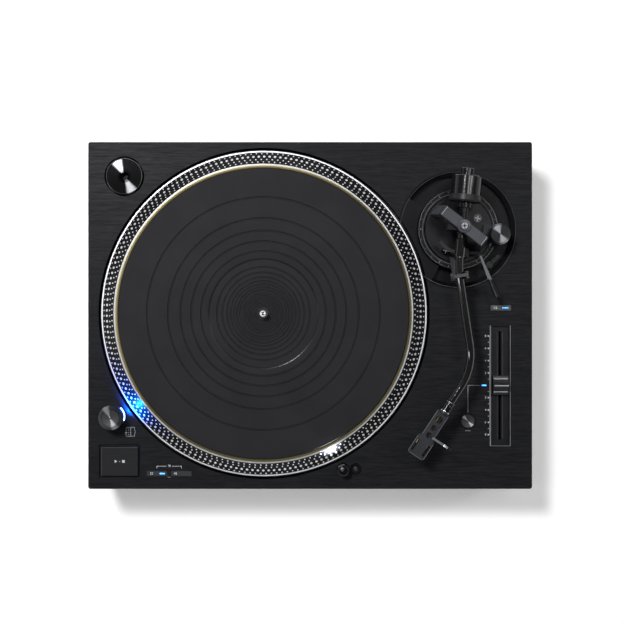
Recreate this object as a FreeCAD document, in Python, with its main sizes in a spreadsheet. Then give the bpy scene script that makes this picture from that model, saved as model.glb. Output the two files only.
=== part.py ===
import FreeCAD, Part
import math
import os
import Sketcher
from FreeCAD import Placement, Rotation, Vector

# A direct drive turntable as its separate pieces, in millimetres.
# The origin is on the floor under the middle of the deck, +X to the right, +Y to the rear, +Z up.

DRIVING_SIZES = [
    # Deck and base
    ("left_margin", 10.5, "platter well to the left side of the deck"),
    ("right_margin", 104.5, "platter well to the right side of the deck"),
    ("front_margin", 10.0, "platter well to the front of the deck"),
    ("rear_margin", 6.0, "platter well to the rear of the deck"),
    ("deck_corner", 2.5, "corner radius of the top panel"),
    ("deck_edge", 0.8, "chamfer round the top panel"),
    ("panel_thickness", 10.0, "brushed aluminium top panel"),
    ("casting_height", 26.0, "die-cast cabinet under the top panel"),
    ("casting_inset", 0.8, "step from the top panel in to the casting"),
    ("rubber_height", 32.0, "heavy rubber base"),
    ("rubber_inset", 1.6, "step from the top panel in to the rubber base"),
    ("rubber_wall", 14.0, "side wall of the rubber base"),
    ("rubber_floor", 8.0, "floor of the rubber base"),
    ("rubber_draft", 2.0, "draft of the rubber base in degrees"),
    # Feet
    ("foot_height", 24.0, "floor to the rubber base"),
    ("foot_radius", 28.0, "widest part of a foot"),
    ("foot_pad_radius", 24.0, "rubber ring on the floor"),
    ("foot_neck_radius", 15.0, "neck under the base"),
    ("foot_stud_radius", 5.0, "threaded stud"),
    ("foot_stud_length", 24.0, "stud above the neck"),
    ("foot_inset_x", 48.0, "side of the deck to the middle of a foot"),
    ("foot_inset_y", 46.0, "front or rear of the deck to the middle of a foot"),
    # Platter and motor
    ("platter_radius", 166.0, "outer lip of the platter"),
    ("platter_gap", 3.0, "platter to the top panel"),
    ("platter_lip", 1.8, "width of the bright edge at the foot of the slope"),
    ("platter_lip_rise", 2.0, "bright edge above the deck"),
    ("platter_drop", 6.0, "skirt below the deck"),
    ("platter_slope", 13.4, "width of the sloping band of dots"),
    ("platter_rise", 16.6, "top of the rim above the deck"),
    ("platter_wall", 8.0, "skirt and web of the casting"),
    ("brass_edge", 1.4, "bright edge of the casting outside the brass plate"),
    ("brass_thickness", 3.2, "brass plate"),
    ("brass_bevel", 1.4, "bevel round the brass plate"),
    ("mat_edge", 3.0, "edge of the brass plate to the rubber mat"),
    ("mat_thickness", 3.0, "rubber mat"),
    ("mat_label_radius", 54.0, "raised middle of the mat"),
    ("mat_step", 0.5, "height of the steps in the mat"),
    ("mat_groove_1", 62.8, "ring groove in the mat"),
    ("mat_groove_2", 72.7, "ring groove in the mat"),
    ("mat_groove_3", 83.4, "ring groove in the mat"),
    ("mat_groove_4", 96.0, "ring groove in the mat"),
    ("mat_groove_5", 117.0, "ring groove in the mat"),
    ("damping_thickness", 4.0, "rubber under the casting"),
    ("spindle_radius", 3.58, "record spindle"),
    ("spindle_rise", 31.0, "top of the spindle above the deck"),
    ("shaft_radius", 5.0, "bearing shaft"),
    ("shaft_gap", 0.03, "running clearance of the bearing shaft"),
    ("hub_radius", 22.0, "hub between the two rotors"),
    ("rotor_radius", 66.0, "rotor yokes"),
    ("rotor_thickness", 4.0, "rotor yokes"),
    ("magnet_inner", 38.0, "inner radius of the magnet rings"),
    ("magnet_outer", 62.0, "outer radius of the magnet rings"),
    ("magnet_thickness", 4.0, "magnet rings"),
    ("stator_thickness", 2.0, "coil board"),
    ("coil_radius", 9.0, "one coreless coil"),
    ("coil_height", 1.0, "coil above and below its board"),
    ("coil_count", 9.0, "coils round the stator"),
    ("air_gap", 0.6, "coils to magnets"),
    ("well_depth", 8.0, "platter well in the casting"),
    ("bearing_radius", 16.0, "bearing housing"),
    ("bearing_flange", 30.0, "flange of the bearing housing"),
    ("bush_radius", 8.0, "bronze bushes"),
    ("bush_length", 7.0, "bronze bushes"),
    # Controls on the left
    ("adaptor_from_left", 36.9, "left of the deck to the single adaptor"),
    ("adaptor_from_rear", 34.9, "rear of the deck to the single adaptor"),
    ("adaptor_radius", 18.7, "single adaptor"),
    ("adaptor_gap", 1.6, "adaptor to the rim of its recess"),
    ("adaptor_depth", 7.0, "recess for the adaptor"),
    ("adaptor_rise", 1.2, "adaptor above the deck"),
    ("adaptor_hole", 3.7, "hole for the spindle"),
    ("tower_from_left", 26.3, "left of the deck to the strobe tower"),
    ("tower_from_front", 74.4, "front of the deck to the strobe tower"),
    ("tower_radius", 11.8, "strobe tower"),
    ("tower_rise", 12.0, "fixed part of the tower"),
    ("knob_rise", 24.0, "top of the power knob above the deck"),
    ("knob_radius", 12.3, "power knob"),
    ("knob_top_radius", 9.2, "spun top of the power knob"),
    ("lens_angle", 70.0, "arc of the strobe window in degrees"),
    ("lens_middle", 14.0, "direction that the strobe window faces"),
    ("start_from_left", 32.3, "left of the deck to the start and stop button"),
    ("start_from_front", 28.4, "front of the deck to the start and stop button"),
    ("start_width", 38.0, "start and stop button"),
    ("start_depth", 30.0, "start and stop button"),
    ("start_recess", 2.1, "recess round the start and stop button"),
    ("start_rise", 2.0, "start and stop button above the deck"),
    ("key_gap", 0.25, "clearance round a key"),
    ("key_width", 21.3, "speed keys and range key"),
    ("key_depth", 5.8, "speed keys and range key"),
    ("key_rise", 1.0, "keys above the deck"),
    ("key_travel", 0.8, "keys"),
    ("key_length", 8.0, "height of a key"),
    ("slow_key_from_left", 70.2, "left of the deck to the 33 key"),
    ("speed_pitch", 25.0, "33 key to 45 key"),
    ("speed_keys_from_front", 15.9, "front of the deck to the speed keys"),
    # Controls at the front and right
    ("lamp_from_right", 192.9, "right of the deck to the stylus lamp"),
    ("lamp_from_front", 20.5, "front of the deck to the stylus lamp"),
    ("lamp_radius", 5.6, "stylus lamp"),
    ("lamp_rise", 14.0, "raised lamp above the deck"),
    ("lamp_travel", 13.4, "lamp pushed home"),
    ("lamp_stem", 9.0, "raised lamp below the deck"),
    ("lamp_button_pitch", 12.8, "stylus lamp to its button"),
    ("lamp_button_radius", 4.3, "button of the stylus lamp"),
    ("fader_from_right", 32.7, "right of the deck to the pitch fader"),
    ("fader_from_front", 105.4, "front of the deck to the middle of the pitch fader"),
    ("fader_width", 21.5, "fader frame"),
    ("fader_length", 123.6, "fader frame"),
    ("fader_rim", 1.7, "rim of the fader frame"),
    ("fader_recess", 3.0, "floor of the frame below the deck"),
    ("fader_depth", 13.0, "frame below the deck"),
    ("fader_slot", 2.4, "slot in the frame"),
    ("fader_slot_length", 111.0, "slot in the frame"),
    ("slider_length", 19.4, "pitch slider along its travel"),
    ("slider_width", 15.6, "pitch slider"),
    ("slider_low", 4.0, "ends of the slider above the deck"),
    ("slider_high", 10.5, "ridge of the slider above the deck"),
    ("reset_from_right", 65.6, "right of the deck to the reset button"),
    ("reset_from_front", 69.3, "front of the deck to the reset button"),
    ("reset_radius", 6.9, "reset button"),
    ("reset_recess", 1.0, "recess round the reset button"),
    ("range_key_from_right", 32.2, "right of the deck to the range key"),
    ("range_key_from_front", 184.8, "front of the deck to the range key"),
    ("zero_light_from_right", 49.2, "right of the deck to the zero light"),
    ("zero_light_from_front", 105.8, "front of the deck to the zero light"),
    ("zero_light_length", 5.3, "zero light"),
    ("zero_light_width", 2.0, "zero light"),
    # Arm base
    ("pivot_distance", 215.0, "spindle to arm pivot"),
    ("pivot_bearing", 23.45, "direction of the pivot from the spindle in degrees"),
    ("arm_base_radius", 60.1, "arm base"),
    ("arm_base_gap", 0.3, "arm base to the top panel"),
    ("arm_base_depth", 12.0, "arm base below the deck"),
    ("arm_boss_radius", 36.0, "boss under the arm base"),
    ("arm_boss_depth", 22.0, "boss below the deck"),
    ("trough_outer", 55.0, "trough round the height ring"),
    ("trough_bevel", 4.6, "bevel outside the trough"),
    ("trough_bevel_drop", 3.0, "bevel outside the trough"),
    ("trough_depth", 9.5, "floor of the trough below the deck"),
    ("trough_start", -117.0, "end of the trough in degrees"),
    ("trough_sweep", 264.0, "arc of the trough in degrees"),
    ("ring_outer", 41.0, "height ring"),
    ("ring_inner", 34.6, "height ring"),
    ("ring_rise", 6.5, "height ring above the deck"),
    ("ring_seat", 3.3, "seat of the height ring below the deck"),
    ("ring_gap", 0.3, "clearance round the height ring"),
    ("ring_flutes", 48.0, "finger grooves round the height ring"),
    ("platform_radius", 34.0, "arm platform"),
    ("platform_rise", 8.0, "top of the arm platform above the deck"),
    ("platform_thickness", 10.8, "arm platform"),
    ("sleeve_radius", 30.0, "sleeve of the arm platform"),
    ("sleeve_wall", 5.0, "sleeve of the arm platform"),
    ("sleeve_depth", 19.0, "sleeve below the deck"),
    ("sleeve_gap", 0.08, "running clearance of the sleeve"),
    # Gimbal
    ("arm_height", 40.0, "middle of the arm tube above the deck"),
    ("bridge_turn", -37.9, "direction of the bridge in degrees"),
    ("bridge_width", 11.0, "bridge"),
    ("bridge_span", 51.0, "bridge over its flat top"),
    ("bridge_foot", 63.0, "bridge over its feet"),
    ("bridge_inside", 39.0, "between the legs of the bridge"),
    ("bridge_rise", 54.0, "top of the bridge above the deck"),
    ("bridge_thickness", 5.0, "flat top of the bridge"),
    ("bridge_boss_radius", 6.7, "boss round the top pivot"),
    ("bridge_boss_rise", 1.6, "boss above the bridge"),
    ("pivot_radius", 2.0, "vertical pivots"),
    ("pivot_gap", 0.05, "running clearance of the pivots"),
    ("ring_frame_width", 30.0, "gimbal ring across the arm"),
    ("ring_frame_height", 16.0, "gimbal ring"),
    ("ring_frame_depth", 9.0, "gimbal ring along the arm"),
    ("ring_frame_wall", 4.0, "gimbal ring at its sides"),
    ("ring_frame_bridge", 2.2, "gimbal ring above and below the arm"),
    ("trunnion_radius", 1.2, "horizontal pivots"),
    # Arm
    ("heading", 101.4, "arm direction at rest, in degrees clockwise from +X"),
    ("tube_radius", 4.0, "arm tube"),
    ("tube_wall", 0.8, "arm tube"),
    ("tube_first_turn", -5.9, "first run, from the arm direction"),
    ("tube_second_turn", -19.9, "second run, from the arm direction"),
    ("offset_angle", 22.0, "headshell, from the arm direction"),
    ("tube_first_corner", 41.4, "pivot to the first corner of the route"),
    ("tube_second_corner", 99.1, "first corner to the second"),
    ("tube_third_run", 52.0, "second corner to the headshell"),
    ("tube_first_bend", 118.0, "radius of the first bend"),
    ("tube_second_bend", 60.0, "radius of the second bend"),
    ("tube_sleeve_radius", 5.0, "sleeve over the tube at the pivot"),
    ("tube_sleeve_start", 11.6, "sleeve from the pivot"),
    ("tube_sleeve_end", 30.7, "sleeve from the pivot"),
    ("block_radius", 5.0, "bearing block"),
    ("block_half_length", 8.0, "bearing block"),
    ("rear_radius", 4.2, "thin part of the rear shaft"),
    ("rear_thread_radius", 6.9, "threaded part of the rear shaft"),
    ("rear_thread_start", 19.0, "threaded part, behind the pivot"),
    ("rear_end", 58.2, "end of the rear shaft, behind the pivot"),
    ("weight_radius", 14.8, "counterweight"),
    ("weight_start", 31.2, "front of the counterweight, behind the pivot"),
    ("weight_length", 19.0, "counterweight"),
    ("dial_radius", 16.0, "weight dial"),
    ("dial_length", 6.6, "weight dial"),
    ("bush_wall", 1.6, "bush in the counterweight"),
    ("collar_radius", 5.4, "locking collar"),
    ("collar_length", 12.0, "locking collar"),
    ("shell_length", 52.0, "headshell from its flange"),
    ("shell_neck", 12.7, "neck of the headshell"),
    ("shell_width", 18.2, "front of the headshell"),
    ("shell_neck_length", 29.0, "neck of the headshell"),
    ("shell_step", 3.5, "taper from the neck to the front"),
    ("shell_thickness", 2.4, "plate of the headshell"),
    ("shell_drop", 1.0, "top of the plate below the middle of the tube"),
    ("shell_slot_spacing", 12.7, "between the cartridge slots"),
    ("shell_slot_width", 2.8, "cartridge slots"),
    ("shell_slot_start", 36.2, "cartridge slots"),
    ("shell_slot_length", 12.4, "cartridge slots"),
    ("plug_radius", 3.9, "plug of the headshell"),
    ("plug_length", 9.5, "plug of the headshell"),
    ("finger_length", 19.6, "finger lift"),
    ("finger_width", 2.2, "finger lift"),
    ("finger_place", 27.7, "finger lift from the flange"),
    # Fittings of the arm
    ("skate_distance", 39.6, "anti-skate knob from the pivot"),
    ("skate_bearing", -9.0, "direction of the anti-skate knob"),
    ("skate_radius", 10.5, "anti-skate knob"),
    ("skate_rise", 30.0, "top of the anti-skate knob above the deck"),
    ("skate_base", 18.0, "top of the anti-skate housing above the deck"),
    ("cue_axis_y", -24.7, "cue shaft from the pivot"),
    ("cue_axis_rise", 20.0, "cue shaft above the deck"),
    ("cue_shaft_start", 3.0, "cue shaft from the pivot"),
    ("cue_shaft_end", 20.2, "cue shaft from the pivot"),
    ("cue_shaft_radius", 1.6, "cue shaft"),
    ("cue_lever_length", 29.0, "cue lever"),
    ("cue_lever_turn", 21.0, "cue lever out from the front in degrees"),
    ("cue_lever_slope", 8.0, "cue lever up in degrees"),
    ("cue_lever_root", 2.0, "cue lever at its shaft"),
    ("cue_lever_tip", 4.0, "cue lever at its tip"),
    ("cue_lever_thickness", 2.2, "cue lever"),
    ("cue_grip_length", 18.5, "grip of the cue lever"),
    ("cue_grip_root", 2.1, "radius of the grip where it starts"),
    ("cue_grip_tip", 2.9, "radius of the grip at its end"),
    ("lift_radius", 25.0, "lift bar from the pivot"),
    ("lift_start", 213.0, "lift bar in degrees"),
    ("lift_sweep", 50.0, "lift bar in degrees"),
    ("lift_width", 3.2, "lift bar"),
    ("lift_thickness", 3.0, "lift bar"),
    ("lift_top", 31.4, "lowered lift bar above the deck"),
    ("lift_post_angle", 258.0, "post of the lift bar in degrees"),
    ("rest_distance", 48.6, "arm rest from the pivot"),
    ("rest_bearing", 266.2, "direction of the arm rest"),
    ("rest_clearance", 1.6, "under the arm tube at rest"),
    ("rest_bracket_width", 8.0, "arm rest bracket"),
    ("rest_bracket_thickness", 4.0, "arm rest bracket"),
    ("rest_lip", 35.4, "low lip of the rest above the deck"),
    ("clamp_rise", 49.6, "underside of the arm clamp above the deck"),
    ("clamp_length", 14.2, "arm clamp"),
    ("lock_lever_bearing", -48.0, "height lock lever"),
    # Rear fittings
    ("alcove_depth", 30.0, "alcoves in the rear of the base"),
    ("alcove_low", 34.0, "floor of the alcoves"),
    ("phono_from_right", 76.5, "right of the deck to the alcove of the phono jacks"),
    ("phono_width", 88.0, "alcove of the phono jacks"),
    ("mains_from_left", 76.5, "left of the deck to the alcove of the mains inlet"),
    ("mains_width", 56.0, "alcove of the mains inlet"),
    ("terminal_thickness", 2.0, "terminal panel"),
    ("jack_radius", 4.15, "phono jacks"),
    ("jack_length", 12.0, "phono jacks"),
    ("jack_spacing", 20.0, "between the phono jacks"),
    ("jack_height", 45.0, "phono jacks above the floor"),
]

doc = FreeCAD.newDocument("Turntable")
sheet = doc.addObject("Spreadsheet::Sheet", "Sizes")


class Size:
    """A size that carries its number and the spreadsheet formula it comes from."""

    def __init__(self, text, number):
        self.text = text
        self.number = number

    def __add__(self, other):
        return combined(self, "+", other)

    def __radd__(self, other):
        return combined(other, "+", self)

    def __sub__(self, other):
        return combined(self, "-", other)

    def __rsub__(self, other):
        return combined(other, "-", self)

    def __mul__(self, other):
        return combined(self, "*", other)

    def __rmul__(self, other):
        return combined(other, "*", self)

    def __truediv__(self, other):
        return combined(self, "/", other)

    def __neg__(self):
        return combined(-1, "*", self)


OPERATIONS = {
    "+": lambda a, b: a + b,
    "-": lambda a, b: a - b,
    "*": lambda a, b: a * b,
    "/": lambda a, b: a / b,
}


def as_size(value):
    if isinstance(value, Size):
        return value
    return Size(f"({value})", float(value))


def combined(first, sign, second):
    first = as_size(first)
    second = as_size(second)
    number = OPERATIONS[sign](first.number, second.number)
    return Size(f"({first.text} {sign} {second.text})", number)


def cosine(angle):
    angle = as_size(angle)
    return Size(f"cos({angle.text})", math.cos(math.radians(angle.number)))


def sine(angle):
    angle = as_size(angle)
    return Size(f"sin({angle.text})", math.sin(math.radians(angle.number)))


def tangent(angle):
    angle = as_size(angle)
    return Size(f"tan({angle.text})", math.tan(math.radians(angle.number)))


class Sizes:
    """The driving sizes by name."""


size = Sizes()
for row, (alias, number, meaning) in enumerate(DRIVING_SIZES, start=1):
    sheet.set(f"A{row}", alias)
    sheet.set(f"B{row}", str(number))
    sheet.set(f"C{row}", meaning)
    sheet.setAlias(f"B{row}", alias)
    setattr(size, alias, Size(f"Sizes.{alias}", number))
doc.recompute()

# Heights and places that follow from the driving sizes
base_bottom = size.foot_height
base_top = base_bottom + size.rubber_height
casting_top = base_top + size.casting_height
deck_top = casting_top + size.panel_thickness
well_floor = casting_top - size.well_depth
well_radius = size.platter_radius + size.platter_gap
deck_width = 2 * well_radius + size.left_margin + size.right_margin
deck_depth = 2 * well_radius + size.front_margin + size.rear_margin
left = -deck_width / 2
right = deck_width / 2
front = -deck_depth / 2
rear = deck_depth / 2
platter_x = left + size.left_margin + well_radius
platter_y = front + size.front_margin + well_radius
pivot_x = platter_x + size.pivot_distance * cosine(size.pivot_bearing)
pivot_y = platter_y + size.pivot_distance * sine(size.pivot_bearing)
arm_axis = deck_top + size.arm_height
platform_top = deck_top + size.platform_rise
seat_gap = as_size(0.1)

# Feet, screws and the pieces closed in by the base
foot_x = deck_width / 2 - size.foot_inset_x
foot_y = deck_depth / 2 - size.foot_inset_y
foot_places = [(-foot_x, -foot_y), (foot_x, -foot_y), (-foot_x, foot_y), (foot_x, foot_y)]
stud_hole = size.foot_stud_radius + 0.05
base_screw_radius = as_size(2)
base_screw_head = as_size(4)
base_screw_places = [(side * foot_x / 2, end * foot_y) for side in (-1, 1) for end in (-1, 1)]
base_screw_places += [(-foot_x, as_size(0)), (foot_x, as_size(0))]
board_width = as_size(180)
board_depth = as_size(70)
board_x = right - 166.5
board_y = front + 82
board_room = as_size(1)
board_floor = as_size(4)
board_leg = as_size(4)
supply_width = as_size(60)
supply_depth = as_size(110)
supply_x = left + 76.5
supply_y = platter_y + 58

# Platter and motor
platter_rim_radius = size.platter_radius - size.platter_lip - size.platter_slope
brass_radius = platter_rim_radius - size.brass_edge
mat_radius = brass_radius - size.mat_edge
rim_top = deck_top + size.platter_rise
web_top = rim_top - size.brass_thickness - 1
web_bottom = web_top - size.platter_wall
mat_seat = rim_top - size.mat_thickness + 0.4
mat_clearance = as_size(0.3)
mat_top = mat_seat + size.mat_thickness
spindle_collar = size.spindle_radius + 0.2
mat_groove_width = as_size(1.6)
mat_grooves = [size.mat_groove_5, size.mat_groove_4, size.mat_groove_3, size.mat_groove_2, size.mat_groove_1]
motor_bay_radius = size.rotor_radius + 12
motor_bay_depth = as_size(8)
bay_floor = well_floor - motor_bay_depth
lower_yoke = bay_floor + 2
coil_bottom = lower_yoke + size.rotor_thickness + size.magnet_thickness + size.air_gap
coil_top = coil_bottom + size.stator_thickness + 2 * size.coil_height
upper_yoke = coil_top + size.air_gap + size.magnet_thickness
hub_bottom = upper_yoke + size.rotor_thickness
hub_bore = size.bearing_radius + 1.5
stator_clearance = as_size(2)
stator_shoulder = as_size(10)
bearing_flange_thickness = as_size(4)
bearing_bay_depth = size.rubber_height - size.rubber_floor
bearing_bottom = base_bottom + size.rubber_floor + 1
bearing_top = upper_yoke - 2.2
shaft_bottom = bearing_bottom + 3
shaft_end_gap = as_size(0.1)

# Controls, placed from the sides of the deck that they keep to
adaptor_x = left + size.adaptor_from_left
adaptor_y = rear - size.adaptor_from_rear
tower_x = left + size.tower_from_left
tower_y = front + size.tower_from_front
start_x = left + size.start_from_left
start_y = front + size.start_from_front
slow_key_x = left + size.slow_key_from_left
speed_keys_y = front + size.speed_keys_from_front
lamp_x = right - size.lamp_from_right
lamp_y = front + size.lamp_from_front
fader_x = right - size.fader_from_right
fader_y = front + size.fader_from_front
reset_x = right - size.reset_from_right
reset_y = front + size.reset_from_front
range_key_x = right - size.range_key_from_right
range_key_y = front + size.range_key_from_front
zero_light_x = right - size.zero_light_from_right
zero_light_y = front + size.zero_light_from_front
phono_x = right - size.phono_from_right
mains_x = left + size.mains_from_left
lamp_button_x = lamp_x + size.lamp_button_pitch
lamp_well_depth = size.lamp_stem + size.lamp_travel + 1 - size.panel_thickness
lamp_turn = as_size(-63)
stem_radius = as_size(4.3)
lens_sill = as_size(3)
lens_wall = as_size(1.2)
lens_height = as_size(7)
knob_flute = as_size(0.55)
knob_flutes = as_size(30)
fader_lip = as_size(0.6)
fader_end_rim = as_size(1.0)
slider_rest = as_size(0.6)
slot_play = as_size(0.2)
slider_stem = as_size(8)
stem_depth = as_size(1.5)

# Arm base and gimbal
trough_inner = size.ring_outer
ring_seat_radius = size.ring_outer + size.ring_gap
ring_groove = as_size(0.9)
ring_bottom = arm_axis - size.ring_frame_height / 2
post_radius = as_size(6)
pivot_reach = as_size(6)
bracket_width = as_size(5)
bracket_depth = as_size(8)
bridge_leg = as_size(4)
lift_post_radius = as_size(2.5)
platform_screws = [(as_size(19.2), as_size(10.8)), (as_size(-12.9), as_size(-21.9))]
arm_screw_head = as_size(4.4)
arm_screw_height = as_size(1.4)
arm_screw_shank = as_size(1.6)
arm_screw_length = as_size(4)
lock_boss = as_size(4)
skate_root = as_size(24)

# Arm, with its straight runs as turns about +Z from +X
first_run_turn = -(size.heading + size.tube_first_turn)
second_run_turn = -(size.heading + size.tube_second_turn)
headshell_turn = -(size.heading + size.offset_angle)
tube_stop = size.plug_length + 1
flange_x = pivot_x + (size.tube_first_corner * cosine(first_run_turn)
                      + size.tube_second_corner * cosine(second_run_turn)
                      + size.tube_third_run * cosine(headshell_turn))
flange_y = pivot_y + (size.tube_first_corner * sine(first_run_turn)
                      + size.tube_second_corner * sine(second_run_turn)
                      + size.tube_third_run * sine(headshell_turn))
collar_gap = as_size(0.3)
shell_holes = [(as_size(9.4), as_size(3.75)), (as_size(19), as_size(3)), (as_size(27.6), as_size(3))]
shell_corner = as_size(1.2)
shell_skirt = as_size(2)
rest_post = as_size(7)
rest_reach = as_size(24)
rest_lip_outer = as_size(7.6)
rest_lip_width = as_size(1.4)
rest_ear_inner = as_size(5.1)
rest_ear_outer = as_size(7.9)
clamp_cheek = as_size(1.5)
clamp_pin = as_size(0.6)
clamp_barrel = as_size(1.25)
clamp_axis = deck_top + size.clamp_rise + clamp_barrel

# Rear fittings
jack_offset = as_size(20)
ground_offset = as_size(22)
inlet_width = as_size(30)
inlet_height = as_size(20)
inlet_depth = as_size(18)

pieces = []


def new_body(name, at=(0, 0, 0), turn=0):
    """An empty body at a place, turned about its own Z axis by so many degrees."""
    body = doc.addObject("PartDesign::Body", name)
    body.Label = name
    put(body, at, turn)
    pieces.append(body)
    return body


def put(thing, at, turn=0, axis=Vector(0, 0, 1)):
    thing.Placement = Placement(Vector(0, 0, 0), Rotation(axis, as_size(turn).number))
    for letter, value in zip("xyz", at):
        thing.setExpression(f"Placement.Base.{letter}", as_size(value).text)
    thing.setExpression("Placement.Rotation.Angle", as_size(turn).text)


def bind(sketch, kind, number, *places):
    number = as_size(number)
    index = sketch.addConstraint(Sketcher.Constraint(kind, *places, number.number))
    sketch.setExpression(f"Constraints[{index}]", number.text)


def new_sketch(body, name, plane="XY_Plane", height=0):
    """A sketch on one of the body's own planes, lifted along that plane's normal."""
    sketch = body.newObject("Sketcher::SketchObject", f"{body.Name}_{name}")
    support = [item for item in body.Origin.OriginFeatures if item.Role == plane][0]
    sketch.AttachmentSupport = (support, [""])
    sketch.MapMode = "FlatFace"
    sketch.setExpression("AttachmentOffset.Base.z", as_size(height).text)
    return sketch


def circle(sketch, radius, x=0, y=0):
    centre = Vector(as_size(x).number, as_size(y).number, 0)
    index = sketch.addGeometry(Part.Circle(centre, Vector(0, 0, 1), as_size(radius).number))
    bind(sketch, "Radius", radius, index)
    bind(sketch, "DistanceX", x, -1, 1, index, 3)
    bind(sketch, "DistanceY", y, -1, 1, index, 3)


def outline(sketch, points):
    """A closed outline of straight lines through the points."""
    numbers = [Vector(as_size(x).number, as_size(y).number, 0) for x, y in points]
    lines = []
    for start, end in zip(numbers, numbers[1:] + numbers[:1]):
        lines.append(sketch.addGeometry(Part.LineSegment(start, end)))
    for line, following in zip(lines, lines[1:] + lines[:1]):
        sketch.addConstraint(Sketcher.Constraint("Coincident", line, 2, following, 1))
    for line, (x, y) in zip(lines, points):
        bind(sketch, "DistanceX", x, -1, 1, line, 1)
        bind(sketch, "DistanceY", y, -1, 1, line, 1)


def rectangle(sketch, width, depth, x=0, y=0):
    half_width = as_size(width) / 2
    half_depth = as_size(depth) / 2
    outline(sketch, [
        (x - half_width, y - half_depth),
        (x + half_width, y - half_depth),
        (x + half_width, y + half_depth),
        (x - half_width, y + half_depth),
    ])


def arc_band(sketch, inner, outer, start, sweep):
    """A closed band between two radii about the origin, with square ends."""
    first = as_size(start)
    last = first + sweep
    middle = Vector(0, 0, 0)
    up = Vector(0, 0, 1)
    angles = (math.radians(first.number), math.radians(last.number))
    arcs = []
    for radius in (inner, outer):
        curve = Part.ArcOfCircle(Part.Circle(middle, up, as_size(radius).number), *angles)
        arcs.append(sketch.addGeometry(curve))
        bind(sketch, "Radius", radius, arcs[-1])
        sketch.addConstraint(Sketcher.Constraint("Coincident", arcs[-1], 3, -1, 1))
    for point, angle in ((1, first), (2, last)):
        ends = [sketch.getPoint(arc, point) for arc in arcs]
        line = sketch.addGeometry(Part.LineSegment(*ends))
        for arc, place in zip(arcs, (1, 2)):
            sketch.addConstraint(Sketcher.Constraint("Coincident", arc, point, line, place))
        bind(sketch, "DistanceX", outer * cosine(angle), -1, 1, line, 2)
        bind(sketch, "DistanceY", inner * sine(angle), -1, 1, line, 1)


def feature(body, kind, name, sketch):
    made = body.newObject(f"PartDesign::{kind}", f"{body.Name}_{name}")
    made.Profile = sketch
    return made


def pad(body, sketch, length, name="pad", draft=0):
    made = feature(body, "Pad", name, sketch)
    made.setExpression("Length", as_size(length).text)
    made.setExpression("TaperAngle", as_size(draft).text)
    doc.recompute()
    return made


def pocket(body, sketch, depth, name="pocket", reverse=False):
    """A pocket below its sketch, or above it when reversed. It has to remove material."""
    before = body.Shape.Volume
    made = feature(body, "Pocket", name, sketch)
    made.setExpression("Length", as_size(depth).text)
    made.Reversed = reverse
    doc.recompute()
    if body.Shape.Volume > before - 1e-6:
        raise RuntimeError(f"{made.Name} removes nothing")
    return made


def turned(body, points, name="turned", sweep=360, x_axis=False):
    """A solid of revolution from an outline in the body's XZ plane, about its Z or X axis."""
    sketch = new_sketch(body, f"{name}_outline", "XZ_Plane")
    outline(sketch, points)
    made = body.newObject("PartDesign::Revolution", f"{body.Name}_{name}")
    made.Profile = sketch
    made.ReferenceAxis = (sketch, ["H_Axis" if x_axis else "V_Axis"])
    made.setExpression("Angle", as_size(sweep).text)
    doc.recompute()
    return made


def grooved(body, points, name="groove", x_axis=False):
    """A groove all the way round. It has to remove material."""
    before = body.Shape.Volume
    sketch = new_sketch(body, f"{name}_outline", "XZ_Plane")
    outline(sketch, points)
    made = body.newObject("PartDesign::Groove", f"{body.Name}_{name}")
    made.Profile = sketch
    made.ReferenceAxis = (sketch, ["H_Axis" if x_axis else "V_Axis"])
    made.Angle = 360
    doc.recompute()
    if body.Shape.Volume > before - 1e-6:
        raise RuntimeError(f"{made.Name} removes nothing")
    return made


def round_pattern(body, original, count, plane_axis="Z_Axis"):
    axis = [item for item in body.Origin.OriginFeatures if item.Role == plane_axis][0]
    made = body.newObject("PartDesign::PolarPattern", f"{original.Name}_round")
    made.Originals = [original]
    made.Axis = (axis, [""])
    made.Angle = 360
    made.setExpression("Occurrences", as_size(count).text)
    body.Tip = made
    doc.recompute()
    return made


def upright(edge):
    ends = [vertex.Point for vertex in edge.Vertexes]
    return len(ends) == 2 and abs(ends[0].z - ends[1].z) > 0.01 and (
        math.hypot(ends[0].x - ends[1].x, ends[0].y - ends[1].y) < 0.2 * abs(ends[0].z - ends[1].z))


def level(height):
    """Picks the edges that lie at one height of the body's own frame."""
    wanted = as_size(height).number
    return lambda edge: abs(edge.BoundBox.ZMin - wanted) < 1e-4 and abs(edge.BoundBox.ZMax - wanted) < 1e-4


def edge_names(body, wanted):
    shape = body.Tip.Shape
    return [f"Edge{number}" for number, edge in enumerate(shape.Edges, start=1) if wanted(edge)]


def fillet(body, wanted, radius, name="fillet"):
    base = (body.Tip, edge_names(body, wanted))
    made = body.newObject("PartDesign::Fillet", f"{body.Name}_{name}")
    made.Base = base
    made.setExpression("Radius", as_size(radius).text)
    doc.recompute()
    return made


def chamfer(body, wanted, reach, name="chamfer"):
    base = (body.Tip, edge_names(body, wanted))
    made = body.newObject("PartDesign::Chamfer", f"{body.Name}_{name}")
    made.Base = base
    made.setExpression("Size", as_size(reach).text)
    doc.recompute()
    return made


def hole(body, name, radius, x, y, top, depth):
    """A round hole cut downwards from a height."""
    sketch = new_sketch(body, name, height=top)
    circle(sketch, radius, x, y)
    return pocket(body, sketch, depth, f"{name}_cut")


def notch(body, name, width, depth, x, y, top, drop):
    """A square-cornered opening cut downwards from a height."""
    sketch = new_sketch(body, name, height=top)
    rectangle(sketch, width, depth, x, y)
    return pocket(body, sketch, drop, f"{name}_cut")


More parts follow.
